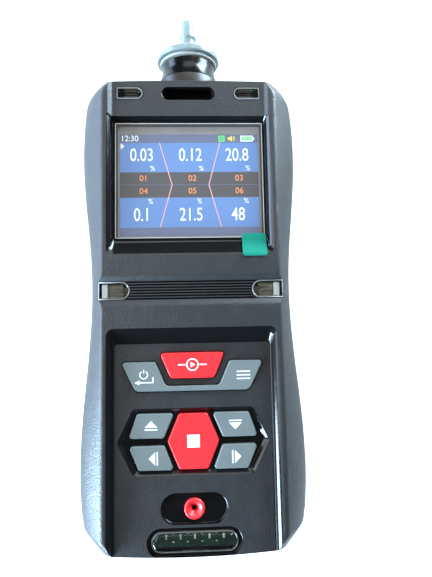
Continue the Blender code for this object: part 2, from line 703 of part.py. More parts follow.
def keypad_recess():
    half = FACE_HALF_WIDTH - RAIL_WIDTH
    floor = half - RECESS_RUN
    end = PARTING.bottom - WALL
    return recess("keypad_recess", (-half, half, end, KEYPAD_TOP_Y),
                  [STEP_CORNER, SLOPE_CORNER, SLOPE_CORNER, STEP_CORNER],
                  (-floor, floor, end, KEYPAD_TOP_Y - KEYPAD_SLOPE_RUN),
                  [STEP_CORNER, SLOPE_FLOOR_CORNER, SLOPE_FLOOR_CORNER, STEP_CORNER], -KEYPAD_DEPTH)


def groove_cutters():
    """The fine grooves across the waist, which run into the holes of the two waist lenses."""
    reach = WAIST_LENS_INNER + WAIST_LENS_HEIGHT / 2
    for i in range(GROOVE_COUNT):
        y = WAIST_Y + (i - (GROOVE_COUNT - 1) / 2) * GROOVE_PITCH
        low = (-reach, y - GROOVE_WIDTH / 2, -VALLEY_DEPTH - GROOVE_DEPTH)
        yield box(f"groove_{i + 1}", low, (reach, y + GROOVE_WIDTH / 2, 0))


def hex_recess():
    corners = [(-HEX_MIDDLE[0], HEX_MIDDLE[1]), (-HEX_BOTTOM[0], HEX_BOTTOM[1]), HEX_BOTTOM, HEX_MIDDLE,
               HEX_TOP, (-HEX_TOP[0], HEX_TOP[1])]
    outline = rounded(corners, HEX_CORNER)
    rim = -KEYPAD_DEPTH
    return stack("hex_recess", outline, [(rim - HEX_DEPTH, HEX_RUN), (rim + HEX_DEPTH, -HEX_RUN)])


def through(name, outline, grow):
    """A cutter straight through the face, a gap larger than the outline of what sits in it."""
    return plate(name, inset(outline, -grow), CEILING_Z - WALL, WALL)


def boss_places():
    for y in BOSS_YS:
        for side in (-1, 1):
            yield side * BOSS_X, y


def neck_cutter(name):
    reach = NECK_RADIUS + GAP
    return rod(name, reach, PARTING.top - NECK_INNER_END - GAP, PARTING.top + WALL, None,
               (0, 0, NECK_Z), "Y", NECK_SIDES)


def front_housing(keys, lenses):
    shell = outer_form("front_housing")
    cut(shell, forehead_recess(), display_recess(), keypad_recess(), hex_recess(), *groove_cutters())
    cavity = [level(case_ring(PARTING_DEPTH, WALL), -PARTING_DEPTH - WALL)]
    for depth in (PARTING_DEPTH, (PARTING_DEPTH - CEILING_Z) / 2, -CEILING_Z):
        cavity.append(level(case_ring(depth, WALL), -depth))
    cut(shell, loft("front_cavity", cavity))
    boss_end = -PARTING_DEPTH - WALL
    for i, (x, y) in enumerate(boss_places()):
        join(shell, rod(f"front_boss_{i + 1}", BOSS_RADIUS, boss_end, CEILING_Z + FLOOR_WALL / 2, None,
                        (x, y, 0), sides=SMALL_SIDES))
        cut(shell, rod(f"front_pilot_{i + 1}", SCREW_RADIUS + GAP, boss_end - WALL,
                       boss_end + SCREW_LENGTH / 2, None, (x, y, 0), sides=SMALL_SIDES))
    port = stadium(0, PORT_Y, PORT_LENGTH, PORT_WIDTH)
    cut(shell, plate("port_recess", port, -KEYPAD_DEPTH - PORT_DEPTH, 0))
    cut(shell, through("port_hole", circle(0, PORT_Y, FUNNEL_STEM, SMALL_SIDES), GAP))
    lamp_recess = stadium(0, BOTTOM_LENS_Y, BOTTOM_LENS_LENGTH, BOTTOM_LENS_HEIGHT)
    cut(shell, plate("lamp_recess", inset(lamp_recess, -BOTTOM_RECESS_MARGIN),
                     -KEYPAD_DEPTH - BOTTOM_RECESS_DEPTH, 0))
    cut(shell, through("sound_slot", stadium(0, TOP_LENS_Y, SLOT_LENGTH, SLOT_HEIGHT), 0))
    pane = window_outline()
    pocket = plate("window_pocket", inset(pane, -GAP), WINDOW_BOTTOM_Z - GAP, 0)
    cut(shell, pocket, through("display_opening", pane, -WINDOW_LEDGE))
    for name, outline in keys.items():
        cut(shell, through(name + "_hole", outline, KEY_GAP))
    for name, outline in lenses.items():
        cut(shell, through(name + "_hole", outline, LENS_GAP))
    cut(shell, neck_cutter("front_neck_hole"))
    return shell


def window_outline():
    return rectangle(-DISPLAY_WIDTH / 2, DISPLAY_WIDTH / 2, DISPLAY_BOTTOM_Y, DISPLAY_TOP_Y, WINDOW_CORNER)


def back_margin(share):
    """How far the rear shell has drawn in at a share of its depth: a quarter of an ellipse."""
    return BACK_INSET * (1 - math.sqrt(1 - share ** 2))


def rear_rings(top_z, floor_z, wall):
    rings = []
    for share in BACK_LEVELS:
        z = top_z + (floor_z - top_z) * share
        rings.append(level(plan_outline(PARTING, wall + back_margin(share)), z))
    return rings


def rear_housing():
    top = -PARTING_DEPTH - PARTING_GAP
    shell = loft("rear_housing", rear_rings(top, -THICKNESS, 0), BLACK_PLASTIC)
    rabbet = plan_outline(PARTING, WALL - SEAL_WIDTH - GAP)
    cut(shell, plate("seal_rabbet", rabbet, top - SEAL_HEIGHT - GAP, top + WALL))
    cavity = rear_rings(top, REAR_FLOOR_Z, WALL)
    cavity.append(level(plan_outline(PARTING, WALL), top + WALL))
    cut(shell, loft("rear_cavity", cavity))
    head_seat = screw_head_z()
    boss_top = -PARTING_DEPTH - WALL - GAP
    for i, (x, y) in enumerate(boss_places()):
        join(shell, rod(f"rear_boss_{i + 1}", REAR_BOSS_RADIUS, REAR_FLOOR_Z - WALL / 2, boss_top, None,
                        (x, y, 0), sides=SMALL_SIDES))
        cut(shell, turned(f"rear_bore_{i + 1}", [
            (0, boss_top + WALL), (SCREW_RADIUS + GAP, boss_top + WALL), (SCREW_RADIUS + GAP, head_seat),
            (SCREW_HEAD_RADIUS + GAP, head_seat), (SCREW_HEAD_RADIUS + GAP, -THICKNESS - WALL),
            (0, -THICKNESS - WALL)], None, (x, y, 0), sides=SMALL_SIDES))
    jack_low, jack_high = jack_box()
    post_y = PARTING.bottom + WALL + BACK_INSET
    join(shell, box("jack_post", (jack_low.x, post_y, REAR_FLOOR_Z - WALL / 2),
                    (jack_high.x, max(jack_high.y, post_y) + WALL, jack_low.z - GAP)))
    cut(shell, box("jack_opening", (jack_low.x - GAP, PARTING.bottom - WALL, jack_low.z - GAP),
                   (jack_high.x + GAP, jack_high.y + GAP, jack_high.z + GAP)))
    cut(shell, neck_cutter("rear_neck_hole"))
    return shell


def jack_box():
    """Lowest and highest corners of the charging socket, which opens through the lower end."""
    mouth = PARTING.bottom + JACK_INSET
    return (Vector((-JACK_WIDTH / 2, mouth, JACK_Z - JACK_HEIGHT / 2)),
            Vector((JACK_WIDTH / 2, mouth + JACK_DEPTH, JACK_Z + JACK_HEIGHT / 2)))


def charge_jack():
    low, high = jack_box()
    wall = Vector((JACK_WALL, JACK_WALL, JACK_WALL))
    jack = box("charge_jack", low, high, STEEL)
    cut(jack, box("jack_mouth", low + wall - Vector((0, WALL, 0)), high - wall))
    half = TONGUE_THICKNESS / 2
    join(jack, box("jack_tongue", (-TONGUE_WIDTH / 2, low.y + TONGUE_SETBACK, JACK_Z - half),
                   (TONGUE_WIDTH / 2, high.y - JACK_WALL / 2, JACK_Z + half)))


def housing_seal():
    top = -PARTING_DEPTH - PARTING_GAP
    outer = plan_outline(PARTING, WALL - SEAL_WIDTH)
    inner = plan_outline(PARTING, WALL)
    seal = plate("housing_seal", outer, top - SEAL_HEIGHT, top, BLACK_RUBBER)
    cut(seal, plate("seal_inside", inner, top - WALL, top + WALL))
    cut(seal, neck_cutter("seal_neck_hole"))
    return seal


def screw_head_z():
    """Level of the seat under each screw's head, which puts the screw's tip in the front boss."""
    return -PARTING_DEPTH - WALL + SCREW_LENGTH / 2 - GAP - SCREW_LENGTH


def housing_screws():
    for i, (x, y) in enumerate(boss_places()):
        seat = screw_head_z() - GAP
        head = seat - SCREW_HEAD_HEIGHT
        turned(f"housing_screw_{i + 1}", [
            (0, seat + SCREW_LENGTH - GAP), (SCREW_RADIUS, seat + SCREW_LENGTH - GAP), (SCREW_RADIUS, seat),
            (SCREW_HEAD_RADIUS, seat), (SCREW_HEAD_RADIUS, head), (SCREW_SOCKET_RADIUS, head),
            (SCREW_SOCKET_RADIUS, head + SCREW_SOCKET_DEPTH), (0, head + SCREW_SOCKET_DEPTH)],
            STEEL, (x, y, 0), sides=SMALL_SIDES)


# ---------------------------------------------------------------- display and lenses

def display_pieces():
    pane = window_outline()
    edge = WINDOW_PROUD / 2
    stack("display_window", pane, [(WINDOW_BOTTOM_Z, 0), (WINDOW_TOP_Z - edge, 0), (WINDOW_TOP_Z, edge)],
          DISPLAY_GLASS)
    film_low = WINDOW_TOP_Z + FILM_THICKNESS
    plate("protective_film", inset(pane, edge + FILM_MARGIN), film_low, film_low + FILM_THICKNESS,
          CLEAR_FILM)
    side = WINDOW_LEDGE + GAP
    reach = DISPLAY_WIDTH / 2 - side
    box("display_module", (-reach, DISPLAY_BOTTOM_Y + side, BOARD_TOP_Z + GAP),
        (reach, DISPLAY_TOP_Y - side, MODULE_TOP_Z), DISPLAY)


def film_tab():
    """The pull tab, which lies over the window's edge and up the slope below it."""
    slope_y = DISPLAY_BOTTOM_Y - WELL_MARGIN
    face_y = slope_y - SLOPE_RUN
    film_top = WINDOW_TOP_Z + 2 * FILM_THICKNESS
    meet_y = slope_y - SLOPE_RUN * (DISPLAY_DEPTH + film_top) / DISPLAY_DEPTH
    top_y = DISPLAY_BOTTOM_Y + TAB_OVERLAP
    end = min(top_y - TAB_LENGTH, face_y - GAP)
    line = [(top_y, film_top + GAP), (meet_y, film_top + GAP), (face_y, GAP), (end, GAP)]
    top = [(y, z + FILM_THICKNESS) for y, z in reversed(line)]
    rings = []
    side = DISPLAY_WIDTH / 2 - TAB_MARGIN
    for x in (side - TAB_WIDTH, side):
        rings.append([(x, y, z) for y, z in line + top])
    loft("film_tab", rings, GREEN_FILM)


def lens_outlines():
    top = bullet(TOP_LENS_INNER, TOP_LENS_OUTER, TOP_LENS_Y, TOP_LENS_HEIGHT)
    waist = bullet(WAIST_LENS_INNER, WAIST_LENS_OUTER, WAIST_Y, WAIST_LENS_HEIGHT)
    bottom = stadium(0, BOTTOM_LENS_Y, BOTTOM_LENS_LENGTH, BOTTOM_LENS_HEIGHT)
    return {"top_lens_right": top, "top_lens_left": mirrored(top), "waist_lens_right": waist,
            "waist_lens_left": mirrored(waist), "bottom_lens": bottom}


def lens_pieces(outlines):
    low = CEILING_Z + LENS_LIFT
    edge = LENS_PROUD / 2
    for side in ("left", "right"):
        top = -FOREHEAD_DEPTH + edge
        stack(f"top_lens_{side}", outlines[f"top_lens_{side}"], [(low, 0), (top - edge, 0), (top, edge)],
              CLEAR_PLASTIC)
        lens = plate(f"waist_lens_{side}", outlines[f"waist_lens_{side}"], low, WALL, CLEAR_PLASTIC)
        keep_inside(lens, outer_form(f"waist_form_{side}"))
    top = -KEYPAD_DEPTH + LENS_PROUD
    edge = BOTTOM_LENS_ROUNDING
    stack("bottom_lens", outlines["bottom_lens"],
          [(low, 0), (top - edge, 0), (top - edge * ROUND_SHARE, edge * ROUND_SHARE), (top, edge)],
          CLEAR_PLASTIC)


def lamp_pieces():
    low = BOARD_TOP_Z + GAP
    half = Vector((LAMP_LENGTH / 2, LAMP_WIDTH / 2, 0))
    rise = Vector((0, 0, LAMP_HEIGHT))
    waist_x = (WAIST_LENS_INNER + BOARD_HALF_WIDTH) / 2
    for side, sign in (("left", -1), ("right", 1)):
        for name, x, y in (("top", (TOP_LENS_INNER + TOP_LENS_OUTER) / 2, TOP_LENS_Y),
                           ("waist", waist_x, WAIST_Y)):
            middle = Vector((sign * x, y, low))
            box(f"lamp_{name}_{side}", middle - half, middle + half + rise, LAMP)
    strip_top = CEILING_Z - GAP
    strip = stadium(0, BOTTOM_LENS_Y, BOTTOM_LENS_LENGTH - 2 * LAMP_MARGIN,
                    BOTTOM_LENS_HEIGHT - 2 * LAMP_MARGIN, 4)
    plate("lamp_bottom", strip, strip_top - BOARD_THICKNESS, strip_top, GREEN_BOARD)


def sound_mesh():
    outline = stadium(0, TOP_LENS_Y, SLOT_LENGTH + 2 * MESH_MARGIN, SLOT_HEIGHT + 2 * MESH_MARGIN)
    top = CEILING_Z - GAP
    plate("sound_mesh", outline, top - MESH_THICKNESS, top, GLOSS_BLACK)


# ---------------------------------------------------------------- keys

def key_outlines():
    def flip(point):
        return (-point[0], point[1])

    pump = [flip(PUMP_KEY_BOTTOM), PUMP_KEY_BOTTOM, PUMP_KEY_TOP, flip(PUMP_KEY_TOP)]
    menu = [flip(MENU_OUTER_BOTTOM), MENU_OUTER_BOTTOM, MENU_OUTER_TOP, MENU_INNER_TOP,
            MENU_INNER_BOTTOM, flip(MENU_INNER_BOTTOM), flip(MENU_INNER_TOP), flip(MENU_OUTER_TOP)]
    stop = [flip(STOP_KEY_BOTTOM), STOP_KEY_BOTTOM, STOP_KEY_MIDDLE, STOP_KEY_TOP, flip(STOP_KEY_TOP),
            flip(STOP_KEY_MIDDLE)]
    right = {"key_down": rounded(UPPER_KEY, KEY_CORNER), "key_right": rounded(LOWER_KEY, KEY_CORNER)}
    menu_radii = [MENU_FOOT_CORNER, MENU_FOOT_CORNER, KEY_CORNER, KEY_CORNER,
                  MENU_NOTCH_CORNER, MENU_NOTCH_CORNER, KEY_CORNER, KEY_CORNER]
    return {
        "key_pump": rounded(pump, [PUMP_FOOT_CORNER, PUMP_FOOT_CORNER, KEY_CORNER, KEY_CORNER]),
        "key_power_menu": rounded(menu, menu_radii),
        "key_stop": rounded(stop, KEY_CORNER),
        "key_up": mirrored(right["key_down"]),
        "key_down": right["key_down"],
        "key_left": mirrored(right["key_right"]),
        "key_right": right["key_right"],
    }


def key_centre(outline):
    """Middle of a key on the underside of its flange: the key slides along the Z axis through it."""
    xs, ys = [point.x for point in outline], [point.y for point in outline]
    return Vector(((min(xs) + max(xs)) / 2, (min(ys) + max(ys)) / 2, FLANGE_BOTTOM_Z))


def key_piece(name, outline, look, top):
    """A key that stands through the face, with a flange that keeps it from falling out."""
    middle = KEY_EDGE * ROUND_SHARE
    notched = name == "key_power_menu"
    body = stack(name, outline, [(FLANGE_BOTTOM_Z, 0), (top - KEY_EDGE, 0), (top - middle, middle),
                                 (top, KEY_EDGE)], look, key_centre(outline), concave=notched)
    flange = inset(outline, -KEY_FLANGE_REACH)
    if notched:
        reach = ROCKER_FLANGE_HALF
        low = MENU_OUTER_BOTTOM[1] - KEY_FLANGE_REACH
        flange = rectangle(-reach, reach, low, MENU_INNER_BOTTOM[1] - KEY_EDGE, KEY_EDGE)
    join(body, plate(name + "_flange", flange, FLANGE_BOTTOM_Z, FLANGE_TOP_Z))
    return body


def key_pieces(outlines):
    for name, outline in outlines.items():
        deep = name in ("key_stop", "key_up", "key_down", "key_left", "key_right")
        top = -KEYPAD_DEPTH - HEX_DEPTH + HEX_KEY_PROUD if deep else -KEYPAD_DEPTH + KEY_PROUD
        look = RED_KEY if name in ("key_pump", "key_stop") else GREY_KEY
        key_piece(name, outline, look, top)
    reach = BOARD_HALF_WIDTH - MAT_SIDE_MARGIN
    mat = rectangle(-reach, reach, STOP_KEY_BOTTOM[1] - MAT_MARGIN, PUMP_KEY_TOP[1] + MAT_MARGIN, MAT_CORNER)
    plate("keypad_mat", mat, MAT_BOTTOM_Z, MAT_TOP_Z, GREY_SILICONE)


def outlet_funnel():
    """Red funnel in the oval recess. Its stem runs through the face to the outlet hose."""
    rim = -KEYPAD_DEPTH + GAP
    floor = -KEYPAD_DEPTH - PORT_DEPTH + GAP
    end = CEILING_Z - STEM_REACH
    turned("outlet_funnel", [
        (FUNNEL_RADIUS - FUNNEL_LIP, rim), (FUNNEL_RADIUS, rim - FUNNEL_LIP / 2), (FUNNEL_RADIUS, floor),
        (FUNNEL_STEM, floor), (FUNNEL_STEM, end), (FUNNEL_BORE, end), (FUNNEL_BORE, floor)],
        RED_KEY, (0, PORT_Y, 0), sides=SMALL_SIDES * 2)
    return end


# ---------------------------------------------------------------- inlet

def inlet_pieces():
    axis = (0, 0, NECK_Z)
    inner_end = PARTING.top - NECK_INNER_END
    filter_seat = NECK_BASE_Y + FILTER_RISE
    turned("inlet_socket", [
        (SPIGOT_RADIUS, COLLAR_TOP_Y), (SPIGOT_RADIUS, NECK_BASE_Y), (NECK_RADIUS, NECK_BASE_Y),
        (NECK_RADIUS, inner_end), (NOZZLE_BORE, inner_end), (NOZZLE_BORE, filter_seat),
        (SPIGOT_BORE, filter_seat), (SPIGOT_BORE, COLLAR_TOP_Y)], BLACK_PLASTIC, axis, "Y", NECK_SIDES)
    collar_foot = NECK_BASE_Y + GAP
    bulge = COLLAR_TOP_RADIUS + (NECK_RADIUS - COLLAR_TOP_RADIUS) * COLLAR_BULGE[0]
    turned("collar", [
        (COLLAR_TOP_RADIUS, COLLAR_TOP_Y), (COLLAR_TOP_RADIUS, collar_foot + COLLAR_HEIGHT * COLLAR_SHOULDER),
        (bulge, collar_foot + COLLAR_HEIGHT * COLLAR_BULGE[1]), (NECK_RADIUS - GAP, collar_foot),
        (SPIGOT_RADIUS + GAP, collar_foot), (SPIGOT_RADIUS + GAP, COLLAR_TOP_Y)],
        GLOSS_BLACK, axis, "Y", NECK_SIDES)
    plug_radius = SPIGOT_BORE - GAP
    turned("filter_seal", [
        (SEAL_RADIUS, SEAL_BOTTOM_Y + SEAL_THICKNESS), (SEAL_RADIUS, SEAL_BOTTOM_Y),
        (plug_radius + GAP, SEAL_BOTTOM_Y), (plug_radius + GAP, SEAL_BOTTOM_Y + SEAL_THICKNESS)],
        WHITE_SILICONE, axis, "Y", NECK_SIDES)
    filter_low = filter_seat + GAP
    rod("filter_disc", plug_radius, filter_low, filter_low + FILTER_THICKNESS, FILTER_PAPER, axis, "Y")
    plug_low = filter_low + FILTER_THICKNESS + GAP
    dome_y = CAP_SHOULDER_Y + CAP_DOME_RISE
    bulge_y = BARB_BASE_Y + BARB_LENGTH * BARB_BULGE
    turned("filter_cap", [
        (BARB_TIP_RADIUS, TIP_Y), (BARB_RADIUS, bulge_y), (BARB_NECK_RADIUS, bulge_y - BARB_STEP),
        (BARB_NECK_RADIUS, BARB_BASE_Y + BARB_STEP), (BARB_NECK_RADIUS + BARB_FLARE, BARB_BASE_Y),
        (CAP_DOME_RADIUS, dome_y), (CAP_RADIUS, CAP_SHOULDER_Y), (CAP_RADIUS, CAP_BOTTOM_Y),
        (plug_radius, CAP_BOTTOM_Y), (plug_radius, plug_low), (NOZZLE_BORE, plug_low),
        (NOZZLE_BORE, TIP_Y)], TRANSLUCENT, axis, "Y", NECK_SIDES)


# ---------------------------------------------------------------- works

def main_board():
    outline = rectangle(-BOARD_HALF_WIDTH, BOARD_HALF_WIDTH, BOARD_BOTTOM_Y, BOARD_TOP_Y,
                        BOARD_CORNER)
    plate("main_board", outline, BOARD_BOTTOM_Z, BOARD_TOP_Z, GREEN_BOARD)
    rod("buzzer", BUZZER_RADIUS, BOARD_TOP_Z + GAP, BOARD_TOP_Z + GAP + BUZZER_HEIGHT, GLOSS_BLACK,
        (0, BOARD_TOP_Y - BUZZER_RADIUS, 0))


def sensors_and_manifold():
    reach_x = SENSOR_SPACING_X / 2 + SENSOR_RADIUS + MANIFOLD_MARGIN
    reach_y = SENSOR_SPACING_Y / 2 + SENSOR_RADIUS + MANIFOLD_MARGIN
    low, high = SENSOR_MIDDLE_Y - reach_y, SENSOR_MIDDLE_Y + reach_y
    outline = rectangle(-reach_x, reach_x, low, high, MANIFOLD_CORNER, 5)
    manifold = plate("gas_manifold", outline, MANIFOLD_BOTTOM_Z, MANIFOLD_TOP_Z, WHITE_PLASTIC)
    number = 0
    for y in (SENSOR_MIDDLE_Y + SENSOR_SPACING_Y / 2, SENSOR_MIDDLE_Y - SENSOR_SPACING_Y / 2):
        for x in (-SENSOR_SPACING_X / 2, SENSOR_SPACING_X / 2):
            number += 1
            turned(f"sensor_{number}", [
                (0, SENSOR_TOP_Z), (SENSOR_RADIUS - SENSOR_EDGE, SENSOR_TOP_Z),
                (SENSOR_RADIUS, SENSOR_TOP_Z - SENSOR_EDGE), (SENSOR_RADIUS, SENSOR_BOTTOM_Z),
                (0, SENSOR_BOTTOM_Z)], WHITE_PLASTIC, (x, y, 0))
            cut(manifold, rod(f"sensor_seat_{number}", SENSOR_RADIUS + GAP, MANIFOLD_TOP_Z - SEAT_DEPTH,
                              MANIFOLD_TOP_Z + WALL, None, (x, y, 0)))
    probe = Vector((0, SENSOR_MIDDLE_Y, MANIFOLD_TOP_Z + GAP))
    half = Vector((PROBE_WIDTH / 2, PROBE_LENGTH / 2, 0))
    box("climate_probe", probe - half, probe + half + Vector((0, 0, PROBE_HEIGHT)), BLACK_PLASTIC)


def hoses(funnel_end):
    """Gas path: from the inlet to the sensors, on to the pump, and over the battery to the outlet."""
    start = PARTING.top - NECK_INNER_END - GAP
    foot = MANIFOLD_TOP_Z + GAP
    drop_y = SENSOR_MIDDLE_Y + SENSOR_SPACING_Y / 2 - HOSE_BEND
    hose("inlet_hose", [(0, start, NECK_Z), (0, start - HOSE_BEND, NECK_Z), (0, drop_y + HOSE_BEND, NECK_Z),
                        (0, drop_y, NECK_Z - HOSE_BEND), (0, drop_y, foot)], HOSE_RADIUS, GREY_SILICONE)
    rise_y = SENSOR_MIDDLE_Y - SENSOR_SPACING_Y / 2
    port_z = (NECK_Z + foot) / 2
    pump_face = PUMP_Y + PUMP_WIDTH / 2 + GAP
    hose("link_hose", [(0, rise_y, foot), (0, rise_y, foot + HOSE_FOOT), (0, rise_y - HOSE_BEND, port_z),
                       (0, pump_face + HOSE_BEND, port_z), (0, pump_face, port_z)],
         HOSE_RADIUS, GREY_SILICONE)
    pump_back = PUMP_Y - PUMP_WIDTH / 2 - GAP
    exit_z = REST_Z + PUMP_PORT_RISE
    x = PUMP_LEFT_X + PUMP_PORT_X
    over = REST_Z + BATTERY_THICKNESS + GAP + HOSE_RADIUS
    battery_end = BATTERY_TOP_Y - BATTERY_LENGTH
    hose("outlet_hose", [(x, pump_back, exit_z), (x, pump_back - HOSE_BEND, exit_z), (x, BATTERY_TOP_Y, over),
                         (x, BATTERY_TOP_Y - BATTERY_LENGTH / 2, over), (x, battery_end + HOSE_BEND, over),
                         (x / 2, PORT_Y + HOSE_BEND / 2, over), (0, PORT_Y, over + HOSE_BEND),
                         (0, PORT_Y, funnel_end - GAP)], HOSE_RADIUS, GREY_SILICONE)


def battery():
    low = Vector((-BATTERY_WIDTH / 2, BATTERY_TOP_Y - BATTERY_LENGTH, REST_Z))
    high = Vector((BATTERY_WIDTH / 2, BATTERY_TOP_Y, REST_Z + BATTERY_THICKNESS))
    box("battery", low, high, BLUE_WRAP, bevel=BATTERY_EDGE)


def pump_pieces():
    """Diaphragm pump: a head with a chamber, a motor beside it and the crank that links them."""
    axis_z = REST_Z + MOTOR_RADIUS
    right_x = PUMP_LEFT_X + PUMP_LENGTH
    height = 2 * MOTOR_RADIUS
    head = box("pump_head", (PUMP_LEFT_X, PUMP_Y - PUMP_WIDTH / 2, REST_Z),
               (right_x, PUMP_Y + PUMP_WIDTH / 2, REST_Z + height), GLOSS_BLACK)
    chamber = CRANK_RADIUS + CRANK_THROW + RUNNING_GAP
    crank_start = right_x - CRANK_LENGTH - GAP
    cut(head, rod("crank_chamber", chamber, crank_start - RUNNING_GAP, right_x + WALL, None,
                  (0, PUMP_Y, axis_z), "X"))
    motor_start = right_x + GAP
    shaft_end = motor_start + MOTOR_LENGTH * SHAFT_REACH
    turned("pump_motor", [
        (MOTOR_RADIUS, motor_start + MOTOR_LENGTH), (MOTOR_RADIUS, motor_start),
        (SHAFT_RADIUS + GAP, motor_start), (SHAFT_RADIUS + GAP, motor_start + MOTOR_LENGTH)],
        STEEL, (0, PUMP_Y, axis_z), "X")
    crank = rod("pump_crank", SHAFT_RADIUS, crank_start, shaft_end, BRASS, (0, PUMP_Y, axis_z), "X",
                SMALL_SIDES)
    join(crank, rod("crank_disc", CRANK_RADIUS, crank_start, crank_start + CRANK_LENGTH, None,
                    (0, PUMP_Y, axis_z + CRANK_THROW), "X"))


def vibrator_pieces():
    """Vibration motor with a half-round weight on the end of its shaft."""
    axis = (0, VIBRATOR_Y, REST_Z + VIBRATOR_RADIUS)
    start = VIBRATOR_X - VIBRATOR_LENGTH
    pin = SHAFT_RADIUS / 2
    turned("vibration_motor", [
        (VIBRATOR_RADIUS, VIBRATOR_X), (VIBRATOR_RADIUS, start), (pin + GAP, start),
        (pin + GAP, VIBRATOR_X)], STEEL, axis, "X")
    weight_start = start - GAP - WEIGHT_LENGTH
    shaft_end = start + VIBRATOR_LENGTH * SHAFT_REACH
    weight = rod("vibration_weight", pin, weight_start, shaft_end, BRASS, axis, "X", SMALL_SIDES)
    half = rod("half_disc", WEIGHT_RADIUS, weight_start, weight_start + WEIGHT_LENGTH, None, axis, "X")
    reach = WEIGHT_RADIUS + GAP
    cut(half, box("other_half", (weight_start - GAP, VIBRATOR_Y - reach, axis[2] - reach),
                  (weight_start + WEIGHT_LENGTH + GAP, VIBRATOR_Y + reach, axis[2] - pin / 2)))
    join(weight, half)


# ---------------------------------------------------------------- put together

def set_origin():
    """Hangs everything on one empty that puts the origin under the middle of the object."""
    root = bpy.data.objects.new("gas_detector_origin", None)
    PARTS.objects.link(root)
    root.location = (0, -(TIP_Y + PARTING.bottom) / 2, THICKNESS)
    for obj in list(PARTS.objects) + list(CUTTERS.objects):
        if obj is not root:
            obj.parent = root


def build():
    keys = key_outlines()
    lenses = lens_outlines()
    front_housing(keys, lenses)
    rear_housing()
    housing_seal()
    housing_screws()
    display_pieces()
    film_tab()
    lens_pieces(lenses)
    lamp_pieces()
    sound_mesh()
    key_pieces(keys)
    funnel_end = outlet_funnel()
    inlet_pieces()
    main_board()
    sensors_and_manifold()
    hoses(funnel_end)
    battery()
    charge_jack()
    pump_pieces()
    vibrator_pieces()
    set_origin()


build()
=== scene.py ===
"""Looks of the portable gas detector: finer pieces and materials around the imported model.

Lengths are in metres. Like the CAD, everything here is modelled about the middle of the display's picture at
the level of the two side rails, and moved to its place in the frame when its mesh is made.
"""

import math
from collections import namedtuple

import bmesh
import bpy
from mathutils import Euler, Matrix, Vector


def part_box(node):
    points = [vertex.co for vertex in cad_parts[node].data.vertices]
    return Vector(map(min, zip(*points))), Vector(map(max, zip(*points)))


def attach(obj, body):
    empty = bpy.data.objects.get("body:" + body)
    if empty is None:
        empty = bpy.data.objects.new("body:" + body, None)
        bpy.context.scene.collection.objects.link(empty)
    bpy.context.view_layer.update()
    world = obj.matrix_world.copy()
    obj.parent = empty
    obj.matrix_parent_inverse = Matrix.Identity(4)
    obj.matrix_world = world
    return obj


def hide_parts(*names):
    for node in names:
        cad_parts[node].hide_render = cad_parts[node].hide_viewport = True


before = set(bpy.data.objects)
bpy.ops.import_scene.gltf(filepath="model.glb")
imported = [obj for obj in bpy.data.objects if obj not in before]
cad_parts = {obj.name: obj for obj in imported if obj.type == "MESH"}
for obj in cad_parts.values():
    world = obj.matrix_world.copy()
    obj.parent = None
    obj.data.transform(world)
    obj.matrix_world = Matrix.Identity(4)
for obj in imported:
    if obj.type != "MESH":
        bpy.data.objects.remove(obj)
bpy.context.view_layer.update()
TURN = math.tau

# ---------------------------------------------------------------- sizes, as in the CAD

GAP = 0.0003
DISPLAY_WIDTH, DISPLAY_LENGTH, DISPLAY_OFFSET = 0.0530, 0.0424, 0.0012
WELL_MARGIN, RECESS_RUN, RAIL_WIDTH = 0.0004, 0.0016, 0.0019
FACE_HALF_WIDTH = DISPLAY_WIDTH / 2 + WELL_MARGIN + RECESS_RUN + RAIL_WIDTH
FACE_EDGE = 0.0007
PARTING_DEPTH, PARTING_GAP = 0.0120, 0.0003
UPPER_BULGE, WAIST, LOWER_BULGE = 0.0388, 0.0355, 0.0394
UPPER_Y, WAIST_Y, LOWER_Y = 0.0140, -0.0376, -0.0990
END_TAPER, TAPER_LENGTH = 0.0014, 0.0200
WALL = 0.0024
FLANK_POWER = 1.6
BACK_INSET = 0.0042
FOREHEAD_DEPTH, DISPLAY_DEPTH, KEYPAD_DEPTH = 0.0012, 0.0030, 0.0032
HEX_DEPTH, PORT_DEPTH, FLOOR_WALL = 0.0012, 0.0016, 0.0014
STEP_RUN, SLOPE_RUN, KEYPAD_SLOPE_RUN, HEX_RUN = 0.0012, 0.0050, 0.0047, 0.0013
KEYPAD_TOP_Y = -0.0506
SLOPE_CORNER, SLOPE_FLOOR_CORNER, STEP_CORNER = 0.0023, 0.0015, 0.0008
VALLEY_DEPTH, VALLEY_FLOOR, VALLEY_RUN = 0.0010, 0.0067, 0.0016
GROOVE_COUNT, GROOVE_PITCH, GROOVE_WIDTH, GROOVE_DEPTH = 7, 0.00095, 0.00040, 0.00045
WINDOW_THICKNESS, WINDOW_PROUD, WINDOW_LEDGE, WINDOW_CORNER = 0.0012, 0.0004, 0.0009, 0.0010
FILM_THICKNESS, FILM_MARGIN = 0.00015, 0.0004
TAB_WIDTH, TAB_LENGTH, TAB_MARGIN, TAB_OVERLAP = 0.0084, 0.0082, 0.0002, 0.0019
LENS_GAP, LENS_PROUD = 0.0002, 0.0004
TOP_LENS_INNER, TOP_LENS_OUTER, TOP_LENS_HEIGHT, TOP_LENS_Y = 0.0161, 0.0252, 0.0042, 0.0323
SLOT_LENGTH, SLOT_HEIGHT = 0.0186, 0.0046
WAIST_LENS_INNER, WAIST_LENS_OUTER, WAIST_LENS_HEIGHT = 0.0208, 0.0317, 0.0061
BOTTOM_LENS_LENGTH, BOTTOM_LENS_HEIGHT, BOTTOM_LENS_Y = 0.0288, 0.0066, -0.1209
BOTTOM_RECESS_MARGIN, BOTTOM_RECESS_DEPTH = 0.0013, 0.0014
